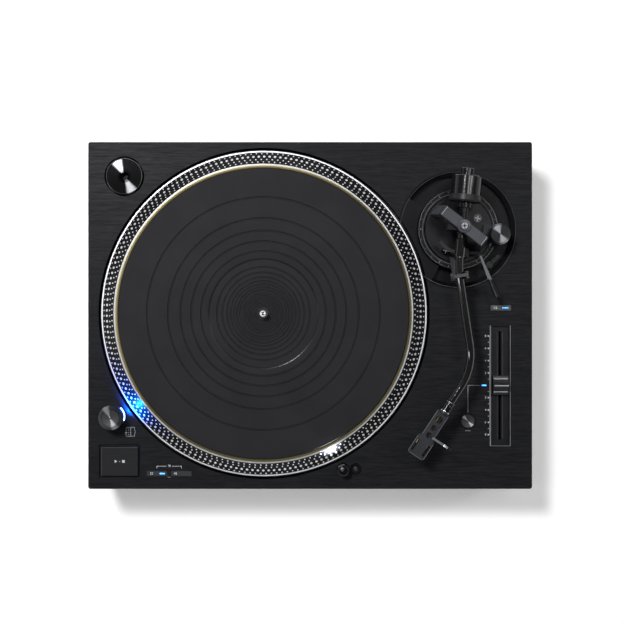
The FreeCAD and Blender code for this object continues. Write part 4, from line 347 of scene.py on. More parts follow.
def glowing(name, colour, strength, core, centre=(0, 0, 0), half=None):
    """A lit plastic window, a little uneven, and where wanted lit only within half a length and width."""
    finish = Finish(name, centre, Roughness=0.25, Emission_Strength=strength)
    cloud = finish.cloud(500.0, 2.0)
    lit = finish.blend(finish.eased(cloud, 0.3, 0.7), colour, core)
    if half:
        x, y = finish.parts()[:2]
        inside = (x.take("ABSOLUTE") < half[0]) * (y.take("ABSOLUTE") < half[1])
        lit = finish.blend(inside, (0.004, 0.006, 0.010), lit)
    finish.give("Base Color", lit)
    finish.give("Emission Color", lit)
    return finish.material


def only(obj):
    """Selects one object and makes it the active one."""
    bpy.ops.object.select_all(action="DESELECT")
    obj.select_set(True)
    bpy.context.view_layer.objects.active = obj


def started(name):
    """Names the primitive that was just added and opens it for editing, with all of it selected."""
    obj = bpy.context.object
    obj.name = name
    obj.data.name = name
    only(obj)
    bpy.ops.object.mode_set(mode="EDIT")
    bpy.ops.mesh.select_all(action="SELECT")
    return obj


def fresh():
    """Closes what was open and deselects everything before a primitive is added."""
    if bpy.context.object and bpy.context.object.mode == "EDIT":
        bpy.ops.object.mode_set(mode="OBJECT")
    bpy.ops.object.select_all(action="DESELECT")


def pick_faces(obj, test):
    """Selects the faces whose middle and normal pass the test."""
    bpy.ops.mesh.select_mode(type="FACE")
    bpy.ops.mesh.select_all(action="DESELECT")
    shape = bmesh.from_edit_mesh(obj.data)
    for face in shape.faces:
        face.select_set(test(face.calc_center_median(), face.normal))
    bmesh.update_edit_mesh(obj.data)


def pick_edges(obj, test):
    """Selects the edges whose two ends pass the test."""
    bpy.ops.mesh.select_mode(type="EDGE")
    bpy.ops.mesh.select_all(action="DESELECT")
    shape = bmesh.from_edit_mesh(obj.data)
    for edge in shape.edges:
        edge.select_set(test(*(vertex.co for vertex in edge.verts)))
    bmesh.update_edit_mesh(obj.data)


def settled():
    """Lays the place and the turn of what was just added into its mesh, and opens it again."""
    bpy.ops.object.mode_set(mode="OBJECT")
    bpy.ops.object.transform_apply(location=True, rotation=True, scale=True)
    bpy.ops.object.mode_set(mode="EDIT")


def finished(obj, body, material, angle=30):
    """Leaves a piece at the origin with its place in its mesh, on its body and with its finish."""
    if obj.mode == "EDIT":
        bpy.ops.object.mode_set(mode="OBJECT")
    only(obj)
    bpy.ops.object.transform_apply(location=True, rotation=True, scale=True)
    bpy.ops.object.shade_smooth_by_angle(angle=math.radians(angle))
    obj.data.materials.clear()
    obj.data.materials.append(material)
    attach(obj, body)
    return obj


def close_up():
    """Merges what doubles and turns every face outwards."""
    bpy.ops.mesh.select_all(action="SELECT")
    bpy.ops.mesh.remove_doubles(threshold=0.000002)
    bpy.ops.mesh.select_all(action="SELECT")
    bpy.ops.mesh.normals_make_consistent(inside=False)


def turned(name, centre, outline, sides=96):
    """A turned shell: a ring carried along an outline of radius and height, back to its start."""
    radius, height = outline[0]
    fresh()
    bpy.ops.mesh.primitive_circle_add(
        vertices=sides, radius=radius, fill_type="NOTHING", location=(centre[0], centre[1], height))
    obj = started(name)
    for wider, higher in outline[1:] + outline[:1]:
        bpy.ops.mesh.extrude_edges_move(TRANSFORM_OT_translate={"value": (0, 0, higher - height)})
        stretch = wider / radius
        bpy.ops.transform.resize(
            value=(stretch, stretch, 1), center_override=(centre[0], centre[1], higher))
        radius, height = wider, higher
    close_up()
    return obj


def disc(name, centre, radius, low, high, edge, sides=48):
    """A short round plate with a bevelled top edge and a shallow dished top."""
    fresh()
    bpy.ops.mesh.primitive_cylinder_add(
        vertices=sides, radius=radius, depth=high - low, location=(centre[0], centre[1], (low + high) / 2))
    obj = started(name)
    half = (high - low) / 2
    pick_edges(obj, lambda a, b: a.z > half * 0.9 and b.z > half * 0.9)
    bpy.ops.mesh.bevel(offset=edge, segments=2, affect="EDGES")
    pick_faces(obj, lambda at, normal: normal.z > 0.9 and at.z > half * 0.9)
    bpy.ops.mesh.inset(thickness=radius * 0.3)
    bpy.ops.transform.translate(value=(0, 0, -edge * 0.3))
    return obj


def plates(name, places, low, thickness):
    """Thin printed bars in one mesh: each has its middle, its length, its width and its turn."""
    fresh()
    obj = None
    for x, y, length, width, turn in places:
        bpy.ops.mesh.primitive_cube_add(
            size=1, location=(x, y, low + thickness / 2), rotation=(0, 0, turn),
            scale=(length, width, thickness))
        if obj is None:
            obj = started(name)
            settled()
    pick_faces(obj, lambda at, normal: normal.z > 0.9)
    bpy.ops.mesh.inset(thickness=thickness * 0.4, use_individual=True)
    return obj


def printed(name, places, low, body, material, thickness=print_thickness):
    """Thin bars that are finished at once."""
    return finished(plates(name, places, low, thickness), body, material)


def ringed(name, centre, outline, body, material, sides=96):
    """A turned shell that is finished at once."""
    return finished(turned(name, centre, outline, sides), body, material)


def ink(name, colour, tone):
    """Printing ink, in a tone of its colour."""
    return painted(name, shade(colour.printing, tone), 3000.0, 0.000005, 0.5)


def as_mesh(obj, name):
    """A text or a curve turned into a mesh of that name."""
    only(obj)
    bpy.ops.object.convert(target="MESH")
    made = bpy.context.object
    made.data.name = name
    return made


def lettering(name, text, height, place):
    """A plain numeral or sign as a thin solid, standing on its middle."""
    fresh()
    bpy.ops.object.text_add(location=place)
    obj = bpy.context.object
    obj.name = name
    obj.data.body = text
    obj.data.size = height * 1.38
    obj.data.align_x = "CENTER"
    obj.data.align_y = "CENTER"
    obj.data.extrude = print_thickness / 2
    obj.data.offset = height * 0.02
    obj.data.resolution_u = 3
    return as_mesh(obj, name)


def joined(name, parts):
    """Several finished bits made one piece."""
    fresh()
    for part in parts:
        part.select_set(True)
    bpy.context.view_layer.objects.active = parts[0]
    bpy.ops.object.join()
    obj = bpy.context.object
    obj.name = name
    obj.data.name = name
    return obj


def around(centre, radius, degrees):
    """A place on a circle."""
    angle = math.radians(degrees)
    return centre[0] + radius * math.cos(angle), centre[1] + radius * math.sin(angle)


def coat(material, *nodes):
    """Gives pieces of the frame their finish."""
    for node in nodes:
        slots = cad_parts[node].data.materials
        slots.clear()
        slots.append(material)


class TurntableStep(bpy.types.Operator):
    """One step of the work, which is made from the sizes and the colours."""

    bl_options = {"REGISTER", "UNDO"}

    def execute(self, context):
        self.make(context.scene.turntable_sizes, context.scene.turntable_colours)
        return {"FINISHED"}


class TURNTABLE_OT_deck(TurntableStep):
    """The brushed deck, its castings and the moulding and rubber under it."""

    bl_idname = "turntable.deck"
    bl_label = "Deck"

    def make(self, size, colour):
        coat(brushed("deck_brushed", colour.deck), "top_panel")
        coat(painted("casting_paint", colour.casting), "cabinet_casting")
        coat(painted("moulding_grain", shade(colour.casting, 1.6), 1500.0, 0.00006, 0.55), "inner_base")
        coat(rubbery("base_rubber_grain", shade(colour.rubber, 0.8)), "rubber_base")
        coat(polished("screw_steel", (0.42, 0.42, 0.44), 0.28), "base_screws")


class TURNTABLE_OT_feet(TurntableStep):
    """The four screw feet."""

    bl_idname = "turntable.feet"
    bl_label = "Feet"

    def make(self, size, colour):
        for corner in ("front_left", "front_right", "rear_left", "rear_right"):
            node = "foot_" + corner
            coat(rubbery(node + "_finish", shade(colour.rubber, 0.9), 1400.0, 0.6), node)


class TURNTABLE_OT_motor(TurntableStep):
    """The motor, its bearing and the circuits, hidden under the platter."""

    bl_idname = "turntable.motor"
    bl_label = "Motor"

    def make(self, size, colour):
        coat(spun("bearing_steel", (0.42, 0.42, 0.44), platter_axis, pitch=0.0006), "bearing_housing")
        coat(spun("bush_bronze", (0.5, 0.3, 0.14), platter_axis, pitch=0.0005), "bearing_bushes")
        coat(spun("yoke_steel", (0.36, 0.36, 0.38), platter_axis, pitch=0.0008), "rotor_yoke")
        coat(painted("magnet_grain", (0.05, 0.05, 0.055), 1800.0, 0.00005, 0.5), "rotor_magnets")
        coat(painted("damping_rubber_grain", (0.014, 0.014, 0.015), 900.0, 0.0001, 0.7), "platter_damping")
        coat(wound("coil_copper"), "stator")
        coat(tracked("board_green"), "main_board")
        coat(brushed("supply_steel", (0.4, 0.4, 0.41), (40.0, 900.0, 300.0), 0.2, 1.0, 0.35),
             "power_supply")


def wound(name):
    """A lacquered board that shows copper where its coils are wound."""
    finish = Finish(name, platter_axis, Specular_IOR_Level=0.5)
    radius = finish.radius()
    turns = finish.rings(0.0009)
    coils = (finish.bearing(0) * 9.0).take("COSINE")
    copper = finish.eased(coils, -0.2, 0.2) * (radius > 0.03)
    finish.give("Base Color", finish.blend(copper, (0.03, 0.10, 0.05), (0.55, 0.24, 0.09)))
    finish.gloss(turns, -1.0, 1.0, 0.25, 0.45)
    finish.bump(turns, 0.0001, 0.6)
    return finish.material


def tracked(name):
    """A circuit board with its copper tracks under green lacquer."""
    finish = Finish(name, Specular_IOR_Level=0.5)
    cells = finish.node("TexVoronoi", {"distance": "CHEBYCHEV", "feature": "F1"},
                        {"Vector": finish.stretched((220.0, 220.0, 220.0)), "Scale": 1.0})
    edge = finish.wire(cells, "Distance")
    tracks = finish.eased(edge, 0.38, 0.42)
    finish.give("Base Color", finish.blend(tracks, (0.012, 0.075, 0.03), (0.05, 0.19, 0.07)))
    finish.gloss(edge, 0.0, 1.0, 0.3, 0.45)
    finish.bump(tracks, 0.00004, 0.5)
    return finish.material


class TURNTABLE_OT_platter(TurntableStep):
    """The platter: its polished lip, the dotted slope, the brass edge and the spindle."""

    bl_idname = "turntable.platter"
    bl_label = "Platter"

    def make(self, size, colour):
        coat(rim_metal("platter_turned", colour), "platter_casting")
        coat(brass_edge("brass_turned", colour), "platter_brass_plate")
        coat(polished("spindle_polish", (0.85, 0.85, 0.87), 0.08), "spindle")
        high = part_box("platter_casting")[1]
        lip = high.x - platter_x
        slope_low = deck_top + 0.002
        rows = (
            (lip - 0.0036, 188, 0.78, size.small_dot),
            (lip - 0.0071, size.large_dots, 0.82, size.large_dot),
            (lip - 0.0106, 176, 0.87, size.small_dot),
            (lip - 0.0134, 171, -0.50, size.small_dot),
        )
        mirror = polished("dot_mirror", (0.94, 0.95, 0.97), 0.4, 0.55)
        run = 0.0134
        rise = high.z - slope_low
        start = lip - 0.0018
        depth = 0.0008
        proud = 0.00008
        tilt = math.atan2(rise, run)
        for number, (radius, count, first, dot) in enumerate(rows, 1):
            level = slope_low + (start - radius) * rise / run
            turn = math.radians(first)
            fresh()
            bpy.ops.mesh.primitive_cylinder_add(
                vertices=12, radius=dot, depth=depth, scale=(1.2, 1, 1),
                location=(*around(platter_axis, radius, first), level), rotation=(0, tilt, turn))
            obj = started(f"strobe_dots_{number}")
            settled()
            outward = Vector((
                math.sin(tilt) * math.cos(turn), math.sin(tilt) * math.sin(turn), math.cos(tilt)))
            pick_faces(obj, lambda at, normal: normal.dot(outward) > 0.9)
            bpy.ops.mesh.inset(thickness=dot * 0.22)
            bpy.ops.transform.translate(value=tuple(outward * proud))
            bpy.ops.mesh.select_all(action="SELECT")
            bpy.ops.mesh.spin(steps=count - 1, dupli=True, angle=2 * math.pi * (count - 1) / count,
                              center=(platter_x, platter_y, level), axis=(0, 0, 1))
            finished(obj, "platter", mirror, 20)


def brass_edge(name, colour):
    """Turned brass with a painted sheen on its bevel, lightest towards 130 degrees, and painted shade on
    the dark band beside the mat.
    """
    finish = Finish(name, platter_axis, Metallic=0.4, Specular_IOR_Level=0.1)
    radius = finish.radius()
    ring = finish.rings(0.0005)
    cloud = finish.cloud(300.0, 2.0)
    # Painted highlight: the bevel's colour is lighter round 130 degrees, as if lit from that side.
    painted_sheen = finish.eased(finish.bearing(130).take("COSINE"), -0.1, 0.95)
    plain = finish.shades(cloud, colour.gold, 0.16, 0.24)
    bright = finish.blend(painted_sheen, plain, shade(colour.gold, 0.78))
    # Painted shade: a much darker brass inside the bevel, beside the mat.
    painted_shade_by_mat = finish.shades(cloud, colour.gold, 0.04, 0.07)
    finish.give("Base Color", finish.blend(finish.eased(radius, 0.1464, 0.1478), painted_shade_by_mat, bright))
    finish.gloss(ring + cloud, -1.0, 2.0, 0.40, 0.54)
    finish.bump(ring + cloud, 0.000006, 0.5)
    return finish.material


def rim_metal(name, colour):
    """Turned aluminium: dark on the dotted slope, bright on the lip and the top ring."""
    finish = Finish(name, platter_axis, Specular_IOR_Level=0.08)
    radius = finish.radius()
    ring = finish.rings(0.0006)
    cloud = finish.cloud(260.0, 2.0)
    slope = finish.eased(radius, 0.1506, 0.1511) * finish.eased(radius, 0.1641, 0.1644, 1.0, 0.0)
    outer = finish.eased(radius, 0.1654, 0.1657)
    finish.give("Metallic", (1.0 - slope) * 0.55)
    bright = finish.shades(cloud, colour.silver, 0.9, 1.1)
    inner = finish.shades(cloud, colour.silver, 0.55, 0.70)
    bright = finish.blend(finish.eased(radius, 0.1515, 0.1520), inner, bright)
    dark = finish.blend(cloud, (0.006, 0.006, 0.007), (0.010, 0.010, 0.012))
    edged = finish.blend(outer, bright, (0.03, 0.03, 0.032))
    finish.give("Base Color", finish.blend(slope, edged, dark))
    finish.gloss(cloud, 0.3, 0.7, 0.34, 0.42)
    finish.bump(ring + cloud, 0.000006, 0.5)
    return finish.material


def groove(radius, half, level, depth, foot):
    """The outline of one groove: its edges at their level, and its narrower foot between them."""
    return [(radius + half, level), (radius + half * foot, level - depth),
            (radius - half * foot, level - depth), (radius - half, level)]


class TURNTABLE_OT_mat(TurntableStep):
    """The rubber mat with all its ring grooves, over the plain mat of the frame."""

    bl_idname = "turntable.mat"
    bl_label = "Mat"

    def make(self, size, colour):
        low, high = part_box("platter_mat")
        edge = high.x - platter_x
        bore = 0.0042
        top = high.z
        step = 0.0005
        depth = size.groove_depth
        outline = [(bore, low.z), (edge, low.z), (edge, top - step), (edge - step, top)]
        half = 0.0009
        broad = (0.1171, 0.0960, 0.0834, 0.0727, 0.0628)
        label = 0.0541
        narrow = (0.0469, 0.0413, 0.0365, 0.0327, 0.0294, 0.0263, 0.0234, 0.0202, 0.0176, 0.0151,
                  0.0126, 0.0101, 0.0076)
        for radius in broad:
            outline += groove(radius, half, top, depth, 0.45)
        floor = top - step
        outline += [(label + 0.0018, top), (label + 0.0015, top - 0.00004), (label + 0.0003, top - 0.0003),
                    (label, floor)]
        for radius in narrow:
            outline += groove(radius, half, floor, depth * 0.8, 0.4)
        outline += [(bore, floor)]
        obj = turned("mat_grooved", platter_axis, outline, 256)
        finish = Finish("mat_rubber_grain", platter_axis, Specular_IOR_Level=0.11)
        radius = finish.radius()
        fine = finish.cloud(1500.0, 3.0)
        rings = finish.rings(0.0012)
        cloud = finish.cloud(30.0, 3.0)
        finish.give("Base Color", finish.shades(finish.eased(cloud, 0.3, 0.7), colour.rubber, 0.9, 1.12))
        lip = finish.eased(radius, label - 0.0001, label + 0.0003) * finish.eased(
            radius, label + 0.0015, label + 0.0019, 1.0, 0.0)
        finish.give("Roughness", finish.ranged(fine, 0.3, 0.7, 0.5, 0.62) - lip * 0.36)
        finish.bump(fine * 0.6 + rings * 0.15, 0.00004, 0.6)
        finished(obj, "platter", finish.material, 25)
        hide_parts("platter_mat")


class TURNTABLE_OT_adaptor(TurntableStep):
    """The spun 45 adaptor, parked in its recess."""

    bl_idname = "turntable.adaptor"
    bl_label = "45 adaptor"

    def make(self, size, colour):
        centre = middle("adaptor_45")
        coat(spun("adaptor_spun", (0.17, 0.172, 0.18), centre, 0.984, 0.70, 117, 0.0005, 0.40),
             "adaptor_45")
        radius, top = radius_of("adaptor_45"), top_of("adaptor_45")
        ringed("adaptor_edge", centre, [
            (radius - 0.0001, top - 0.0005), (radius - 0.0004, top - 0.00005),
            (radius - 0.0008, top + 0.00005), (radius - 0.0010, top - 0.0004)],
            "adaptor", polished("adaptor_edge_polish", (0.085, 0.087, 0.093), 0.4))


class TURNTABLE_OT_strobe(TurntableStep):
    """The strobe tower with its power knob, its lit window and the dot legend beside it."""

    bl_idname = "turntable.strobe"
    bl_label = "Strobe tower"

    def make(self, size, colour):
        centre = tower_middle
        coat(painted("tower_anodised", shade(colour.casting, 1.1), 2200.0, 0.00002, 0.3), "strobe_tower")
        coat(spun("power_knob_spun", (0.165, 0.168, 0.178), centre, 0.72, 0.66), "power_knob")
        coat(glowing("strobe_window_lit", colour.light, 9.0, (0.5, 0.75, 1.0)), "strobe_lens")
        knob_top = top_of("power_knob")
        x, y = around(centre, 0.0062, 52)
        dot = disc("power_knob_mark", (x, y), 0.0011, knob_top - 0.0003, knob_top + 0.00008, 0.00005, 16)
        finished(dot, "power_knob", painted("knob_mark_paint", (0.01, 0.01, 0.01)))
        white = ink("legend_ink", colour, 0.7)
        left, low = centre.x + 0.0125, centre.y - 0.0135
        rows = (
            (0.0006, 0.0006, "6"), (-0.0014, 0.0006, "3"), (-0.0035, 0.0015, "0"), (-0.0055, 0.0006, "3"))
        bars = []
        signs = []
        for row, across, number in rows:
            bars.append((left, low + row, across, across, math.radians(45)))
            bars.append((left + 0.0024, low + row, 0.0011, thin_line, 0))
            place = (left + 0.0046, low + row, print_level)
            signs.append(lettering("strobe_numeral", number, 0.0015, place))
        bars += [
            (left + 0.0043, low + 0.0021, 0.0086, thin_line, 0),
            (left + 0.0043, low - 0.0070, 0.0086, thin_line, 0),
            (left + 0.0086, low + 0.0004, thin_line, 0.0034, 0),
            (left + 0.0086, low - 0.0056, thin_line, 0.0028, 0),
            (left + 0.0092, low - 0.0021, 0.0016, thin_line, math.radians(45)),
            (left + 0.0092, low - 0.0032, 0.0016, thin_line, math.radians(-45)),
        ]
        finished(joined("strobe_numerals", signs), "chassis", white)
        printed("strobe_legend", bars, print_level, "chassis", white)


class TURNTABLE_OT_start_stop(TurntableStep):
    """The start and stop button with its two plain signs and painted highlights along its rear and left
    edges.
    """

    bl_idname = "turntable.start_stop"
    bl_label = "Start and stop"

    def make(self, size, colour):
        centre = middle("start_stop_button")
        top = top_of("start_stop_button")
        grains = (14.0, 1500.0, 300.0)
        coat(brushed("start_button_brushed", (0.0175, 0.0178, 0.0188), grains, 0.1, 0.0, 0.4),
             "start_stop_button")
        square = plates("start_stop_signs", [
            (centre.x + 0.0040, centre.y, 0.0026, 0.0026, 0),
            (centre.x + 0.0002, centre.y, 0.0006, 0.0006, 0)], top, print_thickness)
        bpy.ops.mesh.primitive_cylinder_add(
            vertices=3, radius=0.0018, depth=print_thickness,
            location=(centre.x - 0.0040, centre.y, top + print_thickness / 2),
            rotation=(0, 0, math.radians(-90)))
        finished(square, "start_stop", ink("start_signs_ink", colour, 0.75))
        low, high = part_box("start_stop_button")
        # Painted highlight: lighter lines along the rear and left edges of the button.
        printed("start_button_edge_highlights", [
            (centre.x, high.y - 0.0008, high.x - low.x - 0.0014, 0.0004, 0),
            (low.x + 0.0008, centre.y, thin_line, high.y - low.y - 0.0014, 0)], top - 0.00002,
            "start_stop",
            painted("start_edge_painted_highlight", (0.055, 0.056, 0.060), 2600.0, 0.000005, 0.4))


def lit_bar(body, shift, length, width, colour, strength):
    """A small lit window let into the top of a key: a bar with bevelled edges."""
    key = middle(body + "_key")
    low = top_of(body + "_key") - 0.0001
    thickness = 0.00022
    name = body + "_light"
    fresh()
    bpy.ops.mesh.primitive_cube_add(
        size=1, location=(key.x + shift, key.y, low + thickness / 2), scale=(length, width, thickness))
    obj = started(name)
    pick_faces(obj, lambda at, normal: normal.z > 0.9)
    bpy.ops.mesh.inset(thickness=width * 0.12)
    bpy.ops.transform.translate(value=(0, 0, thickness * 0.3))
    return finished(obj, body,
                    glowing(name + "_lit", colour.light, strength, (0.12, 0.5, 1.0)))


class TURNTABLE_OT_speed_keys(TurntableStep):
    """The 33, 45 and double keys with their numerals, lights and brackets."""

    bl_idname = "turntable.speed_keys"
    bl_label = "Speed keys"

    def make(self, size, colour):
        finish = painted("key_satin", (0.028, 0.029, 0.031), 2600.0, 0.00001, 0.34, 0.3)
        coat(finish, "speed_33_key", "speed_45_key")
        coat(painted("range_key_satin", (0.046, 0.048, 0.052), 2600.0, 0.00001, 0.32, 0.45), "range_key")
        white = ink("key_ink", colour, 0.9)
        keys = (
            ("speed_33", "33", -0.0054, 0.0024),
            ("speed_45", "45", -0.0060, 0.0024),
            ("range", "×2", -0.0056, 0.0026),
        )
        for body, text, shift, height in keys:
            key = middle(body + "_key")
            place = (key.x + shift, key.y, top_of(body + "_key"))
            finished(lettering(body + "_numeral", text, height, place), body, white)
        lit_bar("speed_33", 0.0056, 0.0052, 0.0013, colour, 2.4)
        lit_bar("range", 0.0046, 0.0060, 0.0010, colour, 2.2)
        slow, quick = middle("speed_33_key"), middle("speed_45_key")
        between = (slow.x + quick.x) / 2
        gap = 0.003
        rear = slow.y + 0.0074
        width = 0.00045
        printed("speed_bracket", [
            ((slow.x + between - gap) / 2, rear, between - gap - slow.x, width, 0),
            ((quick.x + between + gap) / 2, rear, quick.x - between - gap, width, 0),
            (slow.x, rear - 0.0010, width, 0.0022, 0),
            (quick.x, rear - 0.0010, width, 0.0022, 0),
            (between, slow.y - 0.0038, 0.0034, thin_line, 0),
        ], print_level, "chassis", white)
        sign = lettering("speed_78_numeral", "78", 0.0021, (between, slow.y + 0.0077, print_level))
        finished(sign, "chassis", white)


class TURNTABLE_OT_stylus_lamp(TurntableStep):
    """The stylus lamp with its lens, partly a painted highlight, black collar rings that are partly
    painted shade, and the button that raises it.
    """

    bl_idname = "turntable.stylus_lamp"
    bl_label = "Stylus lamp"

    def make(self, size, colour):
        lamp, button = middle("stylus_lamp"), middle("lamp_button")
        coat(polished("lamp_gloss_black", (0.0025, 0.0025, 0.003), 0.16, 0.0, 0.0, 0.3), "stylus_lamp")
        coat(painted("lamp_button_anodised", (0.003, 0.003, 0.0035), 2200.0, 0.00001, 0.4, 0.1),
             "lamp_button")
        # Black collar rings, wide enough to be painted shade as well: the dark gaps round the lamp and its
        # button, and the lamp's shadow.
        ring = painted("lamp_ring_painted_shade", (0.002, 0.002, 0.0025), 2200.0, 0.00001, 0.4, 0.08)
        for name, at, radius in (("lamp_collar_shade", lamp, 0.0063), ("lamp_button_collar_shade", button, 0.0058)):
            ringed(name, at, [
                (radius, deck_top), (radius, deck_top + 0.0005), (radius - 0.0003, deck_top + 0.0008),
                (radius - 0.0007, deck_top + 0.0005), (radius - 0.0008, deck_top)],
                "chassis", ring, 64)
        lamp_top = top_of("stylus_lamp")
        # The lamp's window, in a silvery finish so that it also stands for the highlight on the lamp's
        # top: partly a painted highlight.
        lens = disc("lamp_lens", (lamp.x - 0.0011, lamp.y + 0.0013), 0.0019, lamp_top - 0.0004,
                    lamp_top + 0.0001, 0.00012, 32)
        finished(lens, "stylus_lamp",
                 polished("lamp_lens_painted_highlight", (0.13, 0.132, 0.14), 0.34))
        mark = disc("lamp_button_dish", button, 0.0021, top_of("lamp_button") - 0.0002,
                    top_of("lamp_button") + 0.0001, 0.00006, 24)
        finished(mark, "lamp_button",
                 polished("lamp_button_glint", (0.05, 0.05, 0.055), 0.4))


class TURNTABLE_OT_pitch(TurntableStep):
    """The pitch fader with its scale and painted highlights on its frame's edges, the zero light, and the
    reset button with a ring of painted shade round it.
    """

    bl_idname = "turntable.pitch"
    bl_label = "Pitch control"

    def make(self, size, colour):
        fader, knob = middle("pitch_frame"), middle("pitch_slider")
        coat(painted("fader_frame_anodised", (0.0085, 0.0087, 0.0105), 2600.0, 0.00001, 0.34, 0.15),
             "pitch_frame")
        coat(painted("slider_knob_satin", (0.014, 0.014, 0.016), 2600.0, 0.00001, 0.3, 0.5),
             "pitch_slider")
        light = middle("zero_light")
        coat(glowing("zero_light_lit", colour.light, 2.2, (0.12, 0.5, 1.0), light, (0.0023, 0.0007)),
             "zero_light")
        reset = middle("reset_button")
        coat(spun("reset_spun", (0.25, 0.253, 0.265), reset, 0.8, 0.74, 133), "reset_button")
        radius = radius_of("reset_button")
        # Painted shade: a black ring on the deck round the button stands for the dark gap round it.
        ringed("reset_gap_painted_shade", reset, [
            (radius + 0.0019, deck_top), (radius + 0.0018, deck_top + 0.0003),
            (radius + 0.0004, deck_top + 0.0003), (radius + 0.0003, deck_top)], "chassis",
            painted("reset_gap_painted_shade_black", (0.003, 0.003, 0.0035), 2200.0, 0.00001, 0.4, 0.12), 64)
        low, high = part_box("pitch_frame")
        width, length = high.x - low.x, high.y - low.y
        # Painted highlight: lighter bars along the right, left and front edges of the frame.
        edge = painted("fader_edge_painted_highlight", (0.13, 0.135, 0.145), 2600.0, 0.000005, 0.4)
        printed("fader_edge", [
            (high.x - 0.0005, fader.y, 0.0006, length - 0.0012, 0),
            (low.x + 0.0007, fader.y, 0.0012, length - 0.0012, 0),
            (fader.x, low.y + 0.0005, width - 0.0012, 0.0004, 0)], high.z,
            "chassis", edge)
        printed("fader_track_line", [
            (fader.x + 0.0028, fader.y, 0.0004, length - 0.016, 0),
            (fader.x - 0.0028, fader.y, thin_line, length - 0.016, 0)], high.z - 0.0021,
            "chassis", painted("fader_track_shade", (0.05, 0.05, 0.055)), 0.00008)
        knob_low, knob_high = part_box("pitch_slider")
        line_white = painted("slider_line_white", (0.40, 0.41, 0.43), 3000.0, 0.000005, 0.4)
        across = knob_high.x - knob_low.x - 0.0012
        printed("slider_ridge_line", [(knob.x, knob.y, across, 0.0007, 0)], knob_high.z - 0.00002,
                "pitch_slider", line_white, 0.00008)
        printed("slider_end_lines", [
            (knob.x, knob.y + 0.0066, across, 0.0007, 0), (knob.x, knob.y - 0.0066, across, 0.0007, 0)],
            deck_top + 0.00425, "pitch_slider", line_white, 0.0003)
        white = ink("scale_ink", colour, 0.6)
        step = 0.01258
        above_reset = reset.y + 0.0089
        before_light = light.x - 0.0037
        bars = [
            (fader.x - 0.0108, light.y, thin_line, step * 8, 0),
            (reset.x, (above_reset + light.y) / 2, thin_line, light.y - above_reset, 0),
            ((reset.x + before_light) / 2, light.y, before_light - reset.x, thin_line, 0),
            (reset.x, reset.y - 0.0098, 0.0052, thin_line, 0),
        ]
        marks = []
        for number in (-4, -3, -2, -1, 1, 2, 3, 4):
            y = light.y + number * step
            between = y - math.copysign(step / 2, number)
            bars.append((fader.x - 0.0119, y, 0.0016, 0.0015, 0))
            bars.append((fader.x - 0.0118, between, 0.0016, 0.0004, 0))
            marks.append(lettering("pitch_numeral", str(abs(number) * 2), size.numeral_height * 0.72,
                                   (fader.x - 0.0149, y, print_level)))
        printed("pitch_scale", bars, print_level, "chassis", white)
        finished(joined("pitch_numerals", marks), "chassis", white)


def screw_metal(name):
    """Chrome in the middle of the screw over the pivot, gloss black everywhere else."""
    finish = Finish(name, arm_pivot, Metallic=1.0)
    radius = finish.radius()
    cloud = finish.cloud(700.0, 3.0)
    chrome = finish.blend(cloud, (0.06, 0.062, 0.067), (0.16, 0.163, 0.175))
    black = finish.blend(cloud, (0.010, 0.010, 0.011), (0.018, 0.018, 0.020))
    finish.give("Base Color", finish.blend(finish.eased(radius, 0.0030, 0.0034), chrome, black))
    finish.gloss(cloud, 0.3, 0.7, 0.12, 0.2)
    finish.bump(cloud, 0.00001, 0.4)
    return finish.material


def lever_metal(name):
    """Satin silver along the lever, black on its grip."""
    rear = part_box("cue_lever")[1].y
    finish = Finish(name, (0, rear, 0), Specular_IOR_Level=0.12)
    y = finish.parts()[1]
    grip = finish.eased(y, -0.0290, -0.0284, 1.0, 0.0).take(
        "MAXIMUM", finish.eased(y, -0.0048, -0.0042))
    fine = finish.noise((1500.0, 300.0, 1500.0), 2.0)
    silver = finish.blend(fine, (0.070, 0.073, 0.080), (0.085, 0.088, 0.095))
    black = finish.blend(fine, (0.006, 0.006, 0.007), (0.010, 0.010, 0.011))
    finish.give("Base Color", finish.blend(grip, silver, black))
    finish.give("Metallic", 1.0 - grip)
    finish.gloss(fine, 0.3, 0.7, 0.30, 0.36)
    finish.bump(fine, 0.000004, 0.3)
    return finish.material


def crossed(name, at, level, reach, width, turn, body, material):
    """A small raised cross for the recess of a screw: a painted glint in a bright finish, painted shade in
    a black one.
    """
    angle = math.radians(turn)
    bars = [(at[0], at[1], reach, width, one) for one in (angle, angle + math.pi / 2)]
    return printed(name, bars, level, body, material, 0.00008)


